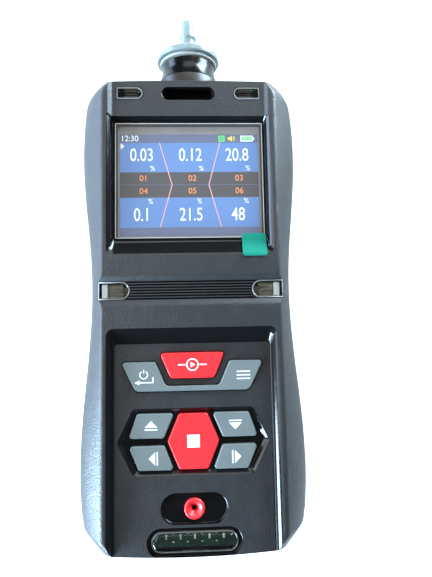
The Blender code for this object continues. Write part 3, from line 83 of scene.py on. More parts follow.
KEY_GAP, KEY_PROUD, HEX_KEY_PROUD, KEY_EDGE, KEY_CORNER = 0.0003, 0.0010, 0.0018, 0.0004, 0.0009
PUMP_FOOT_CORNER, MENU_FOOT_CORNER, MENU_NOTCH_CORNER = 0.0014, 0.0022, 0.0018
KEY_FLANGE, KEY_FLANGE_REACH, ROCKER_FLANGE_HALF = 0.0008, 0.00055, 0.0070
PUMP_KEY_TOP, PUMP_KEY_BOTTOM = (0.0110, -0.0588), (0.0074, -0.0674)
MENU_OUTER_TOP, MENU_OUTER_BOTTOM = (0.0241, -0.0618), (0.0192, -0.0716)
MENU_INNER_TOP, MENU_INNER_BOTTOM = (0.0126, -0.0617), (0.0090, -0.0699)
STOP_KEY_TOP, STOP_KEY_MIDDLE, STOP_KEY_BOTTOM = (0.0048, -0.0792), (0.0086, -0.0882), (0.0048, -0.0973)
UPPER_KEY = ((0.0188, -0.0790), (0.0064, -0.0790), (0.0099, -0.0871), (0.0216, -0.0871))
LOWER_KEY = ((0.0216, -0.0896), (0.0097, -0.0896), (0.0066, -0.0975), (0.0182, -0.0975))
HEX_TOP, HEX_MIDDLE, HEX_BOTTOM = (0.0202, -0.0775), (0.0254, -0.0885), (0.0200, -0.0993)
PORT_Y, PORT_LENGTH, PORT_WIDTH = -0.1102, 0.0221, 0.0100
FUNNEL_RADIUS, FUNNEL_BORE, FUNNEL_STEM, STEM_REACH = 0.0034, 0.0009, 0.0021, 0.0018
BOSS_RADIUS, BOSS_X, BOSS_YS = 0.0028, 0.0286, (0.0240, -0.0600, -0.1105)
SCREW_RADIUS, SCREW_HEAD_RADIUS, SCREW_LENGTH, SCREW_WALL = 0.0012, 0.0024, 0.0140, 0.0010
SEAL_WIDTH, SEAL_HEIGHT = 0.0010, 0.0006
JACK_WIDTH, JACK_HEIGHT, JACK_DEPTH, JACK_INSET = 0.0092, 0.0034, 0.0076, 0.0012
NECK_RADIUS, NECK_RISE, NECK_INNER_END = 0.0115, 0.0012, 0.0056
COLLAR_HEIGHT, COLLAR_TOP_RADIUS = 0.0068, 0.0100
SPIGOT_RADIUS, SPIGOT_BORE = 0.0085, 0.0065
SEAL_THICKNESS, SEAL_RADIUS = 0.0011, 0.0108
CAP_RADIUS, CAP_RIM, CAP_DOME_RADIUS, CAP_DOME_RISE, CAP_TOP_RISE = 0.01175, 0.0018, 0.0094, 0.0020, 0.0014
FILTER_THICKNESS, FILTER_RISE = 0.0010, 0.0008
BARB_LENGTH, BARB_RADIUS, BARB_TIP_RADIUS, BARB_NECK_RADIUS = 0.0122, 0.0034, 0.0022, 0.0026
BARB_BULGE, BARB_STEP, BARB_FLARE, NOZZLE_BORE = 0.42, 0.0006, 0.0012, 0.0012

CEILING_Z = -(KEYPAD_DEPTH + HEX_DEPTH + FLOOR_WALL)
FLANGE_TOP_Z = CEILING_Z - GAP
FLANGE_BOTTOM_Z = FLANGE_TOP_Z - KEY_FLANGE
THICKNESS = 0.0324
REAR_FLOOR_Z = WALL - THICKNESS
NECK_Z = -THICKNESS / 2
DISPLAY_TOP_Y = DISPLAY_OFFSET + DISPLAY_LENGTH / 2
DISPLAY_BOTTOM_Y = DISPLAY_OFFSET - DISPLAY_LENGTH / 2
WINDOW_TOP_Z = -DISPLAY_DEPTH + WINDOW_PROUD
WINDOW_BOTTOM_Z = WINDOW_TOP_Z - WINDOW_THICKNESS
MODULE_TOP_Z = WINDOW_BOTTOM_Z - GAP

Plan = namedtuple("Plan", "top bottom top_knee bottom_knee crown foot radius upper waist lower taper")
PARTING = Plan(0.0412, -0.1279, (0.0306, 0.0335), (0.0308, -0.1173), 0.0005, 0.0013, 0.0050,
               UPPER_BULGE, WAIST, LOWER_BULGE, END_TAPER)
FACE = Plan(0.0362, -0.1239, (0.0276, 0.0332), (0.0268, -0.1194), 0.0003, 0.0010, 0.0025,
            FACE_HALF_WIDTH, FACE_HALF_WIDTH, FACE_HALF_WIDTH, 0.0)
NECK_BASE_Y = PARTING.top + NECK_RISE
COLLAR_TOP_Y = NECK_BASE_Y + GAP + COLLAR_HEIGHT
SEAL_BOTTOM_Y = COLLAR_TOP_Y + GAP
CAP_BOTTOM_Y = SEAL_BOTTOM_Y + SEAL_THICKNESS + GAP
CAP_SHOULDER_Y = CAP_BOTTOM_Y + CAP_RIM
BARB_BASE_Y = CAP_SHOULDER_Y + CAP_DOME_RISE + CAP_TOP_RISE
TIP_Y = BARB_BASE_Y + BARB_LENGTH

shell_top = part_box("front_housing")[1]
ORIGIN = Vector((0, shell_top[1] - PARTING.top, shell_top[2]))

# ---------------------------------------------------------------- fineness, and forms the CAD leaves out

WELD = 0.0000005  # points closer than this become one
MILLIMETRES = 1000  # solids are triangulated and combined in millimetres, because the solver needs it
HAIR = 0.00001  # between two pieces that lie on each other
ARC_STEPS, SLOT_STEPS, BACK_STEPS = 8, 24, 14  # segments of a corner, a slot's end, the back's rounding
SIDES = 96  # segments of a turned piece
SHARP, FLATNESS = 35, 60  # degrees from which an edge is sharp; how much large faces steer the shading

RIM = 0.00030  # rounding along the rims of recesses and holes
FOOT = 0.00040  # rounding where a recess's wall meets its floor
# A side wall is steep up to its knee and bevelled above it
KNEE_DEPTH, KNEE_SHARE, KNEE_ROUNDING = 0.0010, 0.30, 0.0001
# Curves as shares of those roundings: depth below the surface and widening, height and narrowing at the foot
RIM_CURVE = ((1, 0), (0.35, 0.15), (0.08, 0.5), (-1, 2.6))
FOOT_CURVE = ((0, 1), (0.1, 0.45), (0.45, 0.1), (1, 0))
LEANING_RIM_CURVE = ((1, 0), (0.35, 0.25), (0.08, 0.62), (-1, 2.6))
LEANING_FOOT_CURVE = ((0, 1), (0.1, 0.45), (0.45, 0), (1, 0))
HEX_RIM_CURVE = ((0.08, 0.7), (-1, 3))
GROOVE_CURVE = ((0.5, 1), (0.9, 0.7), (1, 0.2), (1.3, 0.05), (2, -0.4))  # of half its width, and its depth
VALLEY_ROUNDING, BROW_ROUNDING = 0.0005, 0.0004
BROW_CURVE = ((0.0001, -0.00008), (0.0012, 0.0002))  # how the valley's slope runs out beyond its upper edge
PORT_SIDES, SCREW_SIDES = 40, 48
JACK_CORNER = 0.0006

# Display: its picture, the heights of its bands as shares of it, its columns, dividing lines and numbers
PICTURE_WIDTH, PICTURE_HEIGHT = 0.04896, 0.03672
BAND_ROWS = (20, 70, 30, 30, 70, 20)
PRINT = 0.00004  # thickness of what is printed or shown
COLUMNS = (-0.0168, 0.0004, 0.0170)
DIVIDERS, DIVIDER_HALF, MIDLINE = ((-0.0105, -0.0062), (0.0110, 0.0068)), 0.00016, 0.00018
VALUES = (("0.03", "0.12", "20.8"), ("0.1", "21.5", "48"))
VALUE_HEIGHT, VALUE_SQUEEZE, VALUE_BOLD = 0.0066, 0.74, 0.004
UNIT_HEIGHT, SMALL_HEIGHT, CLOCK_SQUEEZE = 0.0026, 0.0030, 0.95
MARK_X, MARK_SIDE, MARK_RADIUS, MARK_STROKE = 0.0116, 0.0022, 0.0006, 0.0003
BATTERY_X, BATTERY_TIP_X, CELL_X, CELL_PITCH, CELLS = 0.0206, 0.0231, 0.0192, 0.00095, 4
HORN_X, HORN_ROOT_X, HORN_MOUTH_X, SOUND_X, SOUND_PITCH = 0.0142, 0.0145, 0.0154, 0.0161, 0.0006
MODULE_CORNER, MODULE_EDGE = 0.0005, 0.00015
FILM_EDGE_WIDTH = 0.00028
TAB_CORNER, TAB_ACROSS, TAB_ALONG, TAB_BEND_STEPS = 0.0009, 24, 40, 6

# Signs on the keys
STROKE, THIN_STROKE = 0.00042, 0.00036
ARROW_SIZE, STOP_SIGN_SIDE = 0.0022, 0.0042
ARROWS = (("key_up", (-0.0141, -0.0835), (0, 1)), ("key_down", (0.0141, -0.0825), (0, -1)),
          ("key_left", (-0.0128, -0.0936), (-1, 0)), ("key_right", (0.0137, -0.0936), (1, 0)))
PUMP_SIGN_Y, POWER_SIGN, MENU_SIGN, MENU_PITCH = -0.0629, (-0.0164, -0.0660), (0.0172, -0.0655), 0.0012

# Lamp windows, what shows behind them, and the highlights painted on and in them
LENS_RIM = 0.00040  # width of the pale band around each clear lamp window, a painted highlight of the light caught along its edge
BOTTOM_LENS_EDGE = 3 * LENS_PROUD
RIB_COUNT, RIB_DEPTH, RIB_INNER, RIB_OUTER, RIB_MARGIN = 3, 0.0004, 0.0014, 0.0008, 0.0012
# The block at the outer end of each waist window is a painted highlight set inside the lens
BLOCK_INNER, BLOCK_OUTER, BLOCK_MARGIN, BLOCK_TOP = 0.0284, 0.0304, 0.0007, -0.0026
GUIDE_INNER, GUIDE_TOP = 0.0232, -0.0044
SOFT_EDGE = 0.0003
TRAY_WALL = (0.0008, 0.0006)
LAMP_RISE, LAMP_SIDE, STRIP_LAMPS, STRIP_PITCH, STRIP_STAGGER = 0.0004, 0.00035, 9, 0.0024, 0.0005

# Neck, cap and funnel
TURNED_ROUNDING, SEAL_ROUNDING, CAP_LIP = 0.0002, 0.00035, 0.0003
COLLAR_STEPS, COLLAR_STRAIGHT, COLLAR_POWER = 12, 0.3, 1.6
FUNNEL_EDGE, FUNNEL_SIDE, FUNNEL_LIP, FUNNEL_LIP_DROP, FUNNEL_THROAT = 0.0004, 0.0003, 0.0009, 0.0001, 0.0014


# ---------------------------------------------------------------- materials

class Nodes:
    """A node material under construction."""

    def __init__(self, name):
        self.material = bpy.data.materials.new(name)
        self.material.use_nodes = True
        self.tree = self.material.node_tree
        self.shader = self.tree.nodes["Principled BSDF"]
        self.place = self.add("ShaderNodeTexCoord").outputs["Object"]

    def add(self, kind, **sockets):
        node = self.tree.nodes.new(kind)
        for key, value in sockets.items():
            node.inputs[key.replace("_", " ")].default_value = value
        return node

    def link(self, output, target):
        self.tree.links.new(output, target)

    def noise(self, size, detail=2.0, stretch=None):
        """Noise whose features are about this many metres across."""
        node = self.add("ShaderNodeTexNoise", Scale=1 / size, Detail=detail)
        place = self.place
        if stretch:
            mapping = self.add("ShaderNodeMapping")
            mapping.inputs["Scale"].default_value = stretch
            self.link(place, mapping.inputs["Vector"])
            place = mapping.outputs["Vector"]
        self.link(place, node.inputs["Vector"])
        return node.outputs["Fac"]

    def feed(self, output, name):
        self.link(output, self.shader.inputs[name])

    def fix(self, **values):
        """Sets inputs of the shader; underscores stand for the spaces in their names."""
        for key, value in values.items():
            self.shader.inputs[key.replace("_", " ")].default_value = value
        return self.material

    def ramp(self, factor, dark, light, margin=0.3):
        """Colour that goes from dark to light between this margin and the same below 1."""
        node = self.add("ShaderNodeValToRGB")
        for element, position, color in zip(node.color_ramp.elements, (margin, 1 - margin), (dark, light)):
            element.position = position
            element.color = (*color, 1)
        self.link(factor, node.inputs["Fac"])
        return node.outputs["Color"]

    def span(self, factor, low, high):
        node = self.add("ShaderNodeMapRange")
        node.inputs["To Min"].default_value = low
        node.inputs["To Max"].default_value = high
        self.link(factor, node.inputs["Value"])
        return node.outputs["Result"]

    def bump(self, *layers):
        """Bumps of (height output, depth in metres), one on top of the other."""
        normal = None
        for height, depth in layers:
            node = self.add("ShaderNodeBump", Distance=depth)
            self.link(height, node.inputs["Height"])
            if normal:
                self.link(normal, node.inputs["Normal"])
            normal = node.outputs["Normal"]
        self.feed(normal, "Normal")


WEAR_SIZE, COARSER = 0.0035, 9  # size of the roughness's patches; how much coarser the second grain is
CLEAR_DIM, CLEAR_SMOOTHER, CLEAR_ROUGHER = 0.93, 0.6, 1.5
BACKLIGHT_SIZE, BACKLIGHT_SPREAD, BACKLIGHT_MARGIN = 0.02, 0.05, 0.35
PIXEL_SIZE, PIXEL_DEPTH, SCREEN_ROUGHNESS = 0.0003, 0.000005, 0.4


def surface(name, color, roughness, grain, depth, spread=0.12, wear=0.08, drift=0.009, stretch=None, **fixed):
    """Moulded or painted surface: colour and roughness drift, and a fine grain is raised on it."""
    nodes = Nodes(name)
    dark = [c * (1 - spread) for c in color]
    light = [min(c * (1 + spread), 1) for c in color]
    nodes.feed(nodes.ramp(nodes.noise(drift, 4, stretch), dark, light), "Base Color")
    nodes.feed(nodes.span(nodes.noise(WEAR_SIZE, 3), roughness - wear, roughness + wear), "Roughness")
    nodes.bump((nodes.noise(grain, 2), depth), (nodes.noise(grain * COARSER, 2), depth))
    return nodes.fix(**fixed)


def clear(name, color, roughness, alpha=1.0, grain=0.002, depth=0.00002, **fixed):
    """Clear or milky plastic with a faint unevenness."""
    nodes = Nodes(name)
    nodes.feed(nodes.ramp(nodes.noise(grain * 2, 3), [c * CLEAR_DIM for c in color], color), "Base Color")
    nodes.feed(nodes.span(nodes.noise(grain, 3), roughness * CLEAR_SMOOTHER, roughness * CLEAR_ROUGHER),
               "Roughness")
    nodes.bump((nodes.noise(grain, 2), depth))
    return nodes.fix(Alpha=alpha, **fixed)


def glow(name, color, strength):
    """A lit part of the display, with the slight unevenness of a backlight and its fine pixel grid."""
    nodes = Nodes(name)
    dark = [c * (1 - BACKLIGHT_SPREAD) for c in color]
    tint = nodes.ramp(nodes.noise(BACKLIGHT_SIZE, 1), dark, color, BACKLIGHT_MARGIN)
    nodes.feed(tint, "Base Color")
    nodes.feed(tint, "Emission Color")
    nodes.bump((nodes.noise(PIXEL_SIZE, 0), PIXEL_DEPTH))
    return nodes.fix(Emission_Strength=strength, Roughness=SCREEN_ROUGHNESS)


CASE = surface("case_plastic_look", (0.0215, 0.0225, 0.0238), 0.44, 0.00055, 0.00016,
               Specular_IOR_Level=0.6)
GLOSS = surface("gloss_black_look", (0.0040, 0.0044, 0.0050), 0.17, 0.0012, 0.000006, wear=0.05)
SOCKET = surface("socket_look", (0.030, 0.026, 0.023), 0.36, 0.0008, 0.00001)
COLLAR = surface("collar_look", (0.003, 0.003, 0.0034), 0.20, 0.0016, 0.00002, wear=0.06,
                 Specular_IOR_Level=0.30)
GREY = surface("grey_key_look", (0.152, 0.178, 0.178), 0.42, 0.0003, 0.000012, spread=0.05)
RED = surface("red_key_look", (0.86, 0.030, 0.036), 0.33, 0.0005, 0.00001, spread=0.06)
INK = surface("white_print_look", (0.82, 0.86, 0.88), 0.5, 0.0002, 0.000004, spread=0.04)
RUBBER = surface("seal_rubber_look", (0.018, 0.018, 0.018), 0.75, 0.0004, 0.00002)
CREAM = surface("white_silicone_look", (0.46, 0.47, 0.45), 0.55, 0.0007, 0.00004, Subsurface_Weight=0.2)
PAPER = surface("filter_paper_look", (0.78, 0.78, 0.74), 0.9, 0.0002, 0.00003)
MAT = surface("grey_silicone_look", (0.30, 0.31, 0.32), 0.65, 0.0006, 0.00002)
BOARD = surface("circuit_board_look", (0.012, 0.075, 0.035), 0.4, 0.0009, 0.00003, spread=0.3)
STRIP = surface("lamp_strip_look", (0.003, 0.040, 0.024), 0.35, 0.0009, 0.00003, spread=0.4)
STEEL = surface("steel_look", (0.56, 0.57, 0.58), 0.32, 0.0006, 0.00001, Metallic=1.0)
BRASS = surface("brass_look", (0.70, 0.52, 0.26), 0.35, 0.0006, 0.00001, Metallic=1.0)
WRAP = surface("battery_wrap_look", (0.03, 0.11, 0.38), 0.35, 0.001, 0.00002)
WHITE = surface("white_plastic_look", (0.72, 0.73, 0.72), 0.5, 0.0005, 0.00002, spread=0.05)
PROBE = surface("probe_look", (0.04, 0.04, 0.042), 0.5, 0.0005, 0.00002)
LAMP = surface("lamp_look", (0.85, 0.82, 0.60), 0.3, 0.0006, 0.00002, spread=0.08)
# Beige reflector with painted light: its faint glow stands in for light coming in through the clear lens, and
# its long light streaks partly stand in for glints on its ribs
REFLECTOR_PAINTED_GLOW = surface("reflector_painted_glow_look", (0.20, 0.17, 0.115), 0.30, 0.0006, 0.00003, spread=0.85, drift=0.0009,
                    stretch=(0.10, 1, 1),
                    Emission_Color=(0.46, 0.40, 0.29, 1), Emission_Strength=0.06)
# Pale glowing block: a painted highlight for the light caught at the outer end of each waist window
PAINTED_GLINT_BLOCK = surface("painted_glint_block_look", (0.80, 0.82, 0.80), 0.35, 0.0006, 0.00002, spread=0.06,
                Emission_Color=(0.80, 0.84, 0.86, 1), Emission_Strength=0.14)
LENS = clear("clear_lens_look", (0.93, 0.96, 0.94), 0.04, Transmission_Weight=1.0, IOR=1.46)
CAP = clear("translucent_look", (0.40, 0.49, 0.48), 0.22, grain=0.0012, depth=0.00005,
            Transmission_Weight=0.50, IOR=1.46)
# Pale, partly clear band: a painted highlight of the light caught along the edges of the lamp windows
LENS_EDGE_HIGHLIGHT = clear("lens_edge_highlight_look", (0.36, 0.37, 0.36), 0.16, Transmission_Weight=0.45, IOR=1.46)
GLASS = clear("display_glass_look", (0.05, 0.05, 0.05), 0.05, alpha=0.06)
FILM = clear("clear_film_look", (0.34, 0.31, 0.28), 0.12, alpha=0.10, grain=0.004, depth=0.00003)
FILM_EDGE = clear("film_edge_look", (0.62, 0.60, 0.56), 0.2, alpha=0.75)
TEAL = surface("green_film_look", (0.001, 0.215, 0.145), 0.70, 0.0012, 0.00001, spread=0.05,
               Specular_IOR_Level=0.25)
BEZEL = surface("display_frame_look", (0.36, 0.35, 0.33), 0.45, 0.0006, 0.00001)

LIT_BAR = glow("display_bar_look", (0.09, 0.11, 0.20), 0.9)
LIT_BLUE = glow("display_blue_look", (0.082, 0.190, 0.44), 0.98)
LIT_GREY = glow("display_grey_look", (0.042, 0.036, 0.040), 0.9)
LIT_WHITE = glow("display_white_look", (0.80, 0.88, 0.90), 0.80)
LIT_ORANGE = glow("display_orange_look", (0.90, 0.30, 0.10), 0.70)
LIT_PINK = glow("display_pink_look", (0.85, 0.42, 0.42), 0.70)
LIT_GREEN = glow("display_green_look", (0.10, 0.72, 0.16), 0.80)
LIT_YELLOW = glow("display_yellow_look", (0.90, 0.72, 0.06), 0.80)

SLOT_LOOKS = {
    "case_plastic": CASE, "socket_plastic": SOCKET, "gloss_black": GLOSS, "seal_rubber": RUBBER,
    "steel": STEEL, "display_glass": GLASS, "clear_film": FILM, "green_film": TEAL, "display": BEZEL,
    "clear_lens": LENS, "lamp": LAMP, "circuit_board": BOARD, "grey_silicone": MAT, "red_plastic": RED,
    "grey_key": GREY, "white_plastic": WHITE, "probe_plastic": PROBE, "battery_wrap": WRAP,
    "brass": BRASS, "white_silicone": CREAM, "filter_paper": PAPER, "translucent_plastic": CAP,
}


# ---------------------------------------------------------------- outlines

def fillet(before, corner, after, radius, steps=ARC_STEPS):
    """Points along the arc that rounds a corner between its two neighbours."""
    corner = Vector(corner)
    back = (Vector(before) - corner).normalized()
    ahead = (Vector(after) - corner).normalized()
    half = back.angle(ahead) / 2
    centre = corner + (back + ahead).normalized() * radius / math.sin(half)
    start = corner + back * radius / math.tan(half) - centre
    end = corner + ahead * radius / math.tan(half) - centre
    sweep = start.angle_signed(end)
    return [centre + Matrix.Rotation(-sweep * i / steps, 2) @ start for i in range(steps + 1)]


def rounded(corners, radii):
    """An outline with its corners rounded, all by one radius or each by its own."""
    if isinstance(radii, float):
        radii = [radii] * len(corners)
    points = []
    for i, corner in enumerate(corners):
        points += fillet(corners[i - 1], corner, corners[(i + 1) % len(corners)], radii[i])
    return points


def rectangle(left, right, bottom, top, radius):
    return rounded([(right, bottom), (right, top), (left, top), (left, bottom)], radius)


def circle(x, y, radius, sides):
    angles = [TURN * i / sides for i in range(sides)]
    return [Vector((x + radius * math.cos(a), y + radius * math.sin(a))) for a in angles]


def stadium(x, y, length, height):
    """A slot with round ends, centred on x and y."""
    points = []
    for side, first in ((1, -TURN / 4), (-1, TURN / 4)):
        centre = Vector((x + side * (length - height) / 2, y))
        for i in range(SLOT_STEPS + 1):
            angle = first + TURN / 2 * i / SLOT_STEPS
            points.append(centre + height / 2 * Vector((math.cos(angle), math.sin(angle))))
    return points


def bullet(inner, outer, y, height):
    """A slot on the +X side with a round inner end and a square outer end."""
    radius = height / 2
    points = [Vector((outer, y - radius)), Vector((outer, y + radius))]
    for i in range(SLOT_STEPS + 1):
        angle = TURN / 4 + TURN / 2 * i / SLOT_STEPS
        points.append(Vector((inner + radius + radius * math.cos(angle), y + radius * math.sin(angle))))
    return points


def mirrored(points):
    return [Vector((-point[0], point[1])) for point in reversed(points)]


def inset(outline, distance):
    """Each side of an anticlockwise outline moved in by the distance, with mitred corners."""
    points = []
    for i, here in enumerate(outline):
        along = (here - outline[i - 1]).normalized()
        away = (outline[(i + 1) % len(outline)] - here).normalized()
        first = Vector((-along.y, along.x))
        second = Vector((-away.y, away.x))
        points.append(here + (first + second) * distance / (1 + first.dot(second)))
    return points


def half_width(plan, y):
    """Half the width of a plan at y: two bulges with a waist between them."""
    if y > UPPER_Y:
        return plan.upper - plan.taper * ((y - UPPER_Y) / TAPER_LENGTH) ** 2
    if y < LOWER_Y:
        return plan.lower - plan.taper * ((LOWER_Y - y) / TAPER_LENGTH) ** 2
    bulge, bulge_y = (plan.upper, UPPER_Y) if y > WAIST_Y else (plan.lower, LOWER_Y)
    share = (1 + math.cos(math.pi * (y - bulge_y) / (WAIST_Y - bulge_y))) / 2
    return plan.waist + (bulge - plan.waist) * share


def plan_outline(plan, margin=0.0):
    """The whole outline of a plan, moved in by a margin, anticlockwise from the bottom centre."""
    crown_steps, side_steps = 12, 56
    slant = math.tan(math.pi / 8) * margin
    top, bottom = plan.top - margin, plan.bottom + margin
    top_x, top_y = plan.top_knee[0] - slant, plan.top_knee[1] - slant
    bottom_x, bottom_y = plan.bottom_knee[0] - slant, plan.bottom_knee[1] + slant
    radius = max(plan.radius - margin / 2, plan.radius / 3)
    bottom_end = Vector((bottom_x, bottom + plan.foot))
    bottom_side = Vector((half_width(plan, bottom_y) - margin, bottom_y))
    top_side = Vector((half_width(plan, top_y) - margin, top_y))
    top_end = Vector((top_x, top - plan.crown))
    flat = bottom_x - radius / 2
    right = [Vector((flat * i / crown_steps, 0)) for i in range(crown_steps)]
    for point in right:
        point.y = bottom + plan.foot * (point.x / bottom_x) ** 2
    right += fillet(right[-1], bottom_end, bottom_side, radius)
    above = Vector((bottom_side.x, bottom_side.y + 1))
    right += fillet(bottom_end, bottom_side, above, radius)
    low, high = right[-1].y, top_side.y - radius
    for i in range(1, side_steps):
        y = low + (high - low) * i / side_steps
        right.append(Vector((half_width(plan, y) - margin, y)))
    right += fillet(right[-1], top_side, top_end, 2 * radius)
    crown = []
    for i in reversed(range(crown_steps)):
        x = (top_x - radius / 2) * i / crown_steps
        crown.append(Vector((x, top - plan.crown * (x / top_x) ** 2)))
    right += fillet(top_side, top_end, crown[0], radius)
    right += crown
    left = [Vector((-point.x, point.y)) for point in reversed(right[1:-1])]
    return right + left


def case_ring(depth, margin=0.0):
    along = min(depth / PARTING_DEPTH, 1.0)
    share = 1 - (1 - along) ** FLANK_POWER
    face = plan_outline(FACE, margin)
    parting = plan_outline(PARTING, margin)
    return [near.lerp(far, share) for near, far in zip(face, parting)]


# ---------------------------------------------------------------- meshes

def level(outline, z):
    return [(point[0], point[1], z) for point in outline]


def to_object(name, bm, looks, sharp=SHARP):
    bmesh.ops.recalc_face_normals(bm, faces=bm.faces)
    bmesh.ops.translate(bm, vec=ORIGIN, verts=bm.verts)
    mesh = bpy.data.meshes.new(name)
    bm.to_mesh(mesh)
    bm.free()
    for look in looks:
        mesh.materials.append(look)
    mesh.set_sharp_from_angle(angle=math.radians(sharp))
    obj = bpy.data.objects.new(name, mesh)
    bpy.context.scene.collection.objects.link(obj)
    return obj


def loft(name, rings, looks, sharp=SHARP, ends=(0, 0)):
    """A closed solid through rings of points; ends are the material indices of its first and last face."""
    bm = bmesh.new()
    loops = [[bm.verts.new(Vector(point) * MILLIMETRES) for point in ring] for ring in rings]
    for lower, upper in zip(loops, loops[1:]):
        for i, vertex in enumerate(lower):
            j = (i + 1) % len(lower)
            bm.faces.new((vertex, lower[j], upper[j], upper[i]))
    for loop, index in zip((loops[0][::-1], loops[-1]), ends):
        bm.faces.new(loop).material_index = index
    for face in bm.faces:
        face.smooth = True
    bm.normal_update()  # the triangulation of a concave end needs its normal
    bmesh.ops.triangulate(bm, faces=bm.faces)
    bmesh.ops.scale(bm, vec=[1 / MILLIMETRES] * 3, verts=bm.verts)
    return to_object(name, bm, looks, sharp)


def stack(name, outline, levels, looks):
    """A solid of one outline, moved in by each level's inset at that level's z."""
    rings = [level(inset(outline, amount) if amount else outline, z) for z, amount in levels]
    return loft(name, rings, looks)


def plate(name, outline, low, high, looks, edge=0.0):
    top = rounded_edge(high, edge) if edge else [(high, 0)]
    return stack(name, outline, [(low, 0)] + top, looks)


def band(name, outline, width, low, high, look):
    """A frame of even width along the inside of an outline."""
    bm = bmesh.new()
    inner = inset(outline, width)
    loops = [[bm.verts.new((point.x, point.y, z)) for point in line]
             for line, z in ((outline, low), (inner, low), (inner, high), (outline, high))]
    for a, b in zip(loops, loops[1:] + loops[:1]):
        for i, vertex in enumerate(a):
            j = (i + 1) % len(a)
            bm.faces.new((vertex, a[j], b[j], b[i]))
    return to_object(name, bm, [look])


def rounded_edge(top, radius, steps=5):
    """Levels of a quarter round that ends at the top."""
    angles = [TURN / 4 * i / steps for i in range(steps + 1)]
    return [(top - radius * (1 - math.sin(a)), radius * (1 - math.cos(a))) for a in angles]


def box(name, low, high, looks, bevel=0.0):
    bm = bmesh.new()
    bmesh.ops.create_cube(bm, size=1)
    size = Vector(high) - Vector(low)
    bmesh.ops.scale(bm, vec=size, verts=bm.verts)
    bmesh.ops.translate(bm, vec=(Vector(high) + Vector(low)) / 2, verts=bm.verts)
    if bevel:
        bmesh.ops.bevel(bm, geom=bm.edges, offset=bevel, segments=3, profile=0.5, affect="EDGES")
    return to_object(name, bm, looks)


def turned(name, profile, looks, centre=(0, 0, 0), axis="Z", sides=SIDES):
    """A solid turned from a closed line of (radius, height) points; radius 0 closes it on the axis."""
    bm = bmesh.new()
    rings = []
    for radius, height in profile:
        if radius == 0:
            rings.append([bm.verts.new((0, 0, height))])
        else:
            rings.append([bm.verts.new((radius * math.cos(TURN * i / sides),
                                        radius * math.sin(TURN * i / sides), height)) for i in range(sides)])
    pairs = list(zip(rings, rings[1:]))
    if profile[0][0] and profile[-1][0]:
        pairs.append((rings[-1], rings[0]))
    for a, b in pairs:
        for i in range(sides):
            j = (i + 1) % sides
            if len(a) == 1:
                bm.faces.new((a[0], b[i], b[j]))
            elif len(b) == 1:
                bm.faces.new((a[i], a[j], b[0]))
            else:
                bm.faces.new((a[i], a[j], b[j], b[i]))
    for face in bm.faces:
        face.smooth = True
    if axis == "Y":
        bmesh.ops.rotate(bm, matrix=Matrix.Rotation(-TURN / 4, 3, "X"), verts=bm.verts)
    bmesh.ops.translate(bm, vec=Vector(centre), verts=bm.verts)
    return to_object(name, bm, looks)


def rod(name, radius, low, high, looks, centre, axis="Z", sides=32):
    return turned(name, [(0, high), (radius, high), (radius, low), (0, low)], looks, centre, axis, sides)


def drop(objects):
    for obj in objects:
        mesh = obj.data
        bpy.data.objects.remove(obj, do_unlink=True)
        bpy.data.meshes.remove(mesh)


def combine(obj, tools, operation):
    """Cuts, joins or crops a solid with each of the tools, and keeps the result as its own mesh."""
    for solid in (obj, *tools):
        solid.data.transform(Matrix.Scale(MILLIMETRES, 4))
    for tool in tools:
        change = obj.modifiers.new("combine", "BOOLEAN")
        change.operation = operation
        change.object = tool
        change.solver = "EXACT"
        change.material_mode = "TRANSFER"
    bake(obj)
    bm = bmesh.new()
    bm.from_mesh(obj.data)
    bmesh.ops.remove_doubles(bm, verts=bm.verts, dist=WELD * MILLIMETRES)
    bmesh.ops.dissolve_degenerate(bm, edges=bm.edges, dist=WELD * MILLIMETRES)
    bm.to_mesh(obj.data)
    bm.free()
    obj.data.transform(Matrix.Scale(1 / MILLIMETRES, 4))
    drop(tools)


def bake(obj):
    """Applies all modifiers of an object."""
    bpy.context.view_layer.update()
    graph = bpy.context.evaluated_depsgraph_get()
    mesh = bpy.data.meshes.new_from_object(obj.evaluated_get(graph), depsgraph=graph)
    old = obj.data
    obj.modifiers.clear()
    obj.data = mesh
    bpy.data.meshes.remove(old)


def shade(obj):
    """Smooth shading in which the large faces stay flat."""
    mesh = obj.data
    for polygon in mesh.polygons:
        polygon.use_smooth = True
    mesh.set_sharp_from_angle(angle=math.radians(SHARP))
    weights = obj.modifiers.new("weights", "WEIGHTED_NORMAL")
    weights.keep_sharp = True
    weights.weight = FLATNESS
    bake(obj)


def place(obj, body, *nodes, slot=None):
    """Lets a piece ride on a body, in the place of the named CAD nodes."""
    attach(obj, body)
    if nodes:
        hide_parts(*nodes)


# ---------------------------------------------------------------- shells

def outer_form(name):
    """The front shell's outside, with the valley across its waist but no recesses."""
    flank_steps, edge_steps = 16, 5
    rings = []
    for i in range(flank_steps + 1):
        depth = PARTING_DEPTH + (FACE_EDGE - PARTING_DEPTH) * i / flank_steps
        rings.append(level(case_ring(depth), -depth))
    for i in range(1, edge_steps + 1):
        angle = TURN / 4 * i / edge_steps
        depth = FACE_EDGE * (1 - math.sin(angle))
        rings.append(level(case_ring(depth, FACE_EDGE * (1 - math.cos(angle))), -depth))
    form = loft(name, rings, [CASE])
    floor = VALLEY_FLOOR / 2
    brow = floor + VALLEY_RUN
    foot = fillet((floor - VALLEY_DEPTH, -VALLEY_DEPTH), (floor, -VALLEY_DEPTH), (brow, 0),
                  VALLEY_ROUNDING, 4)
    half = [(point.x, point.y) for point in foot]
    half.append((brow - BROW_ROUNDING, -BROW_ROUNDING * (VALLEY_DEPTH / VALLEY_RUN)))
    half += [(brow + out, up) for out, up in BROW_CURVE]
    profile = [(-y, z) for y, z in reversed(half)] + half
    reach = LOWER_BULGE + WALL
    rings = [[(x, WAIST_Y + y, z) for y, z in profile] for x in (-reach, reach)]
    combine(form, [loft(name + "_valley", rings, [CASE])], "DIFFERENCE")
    return form


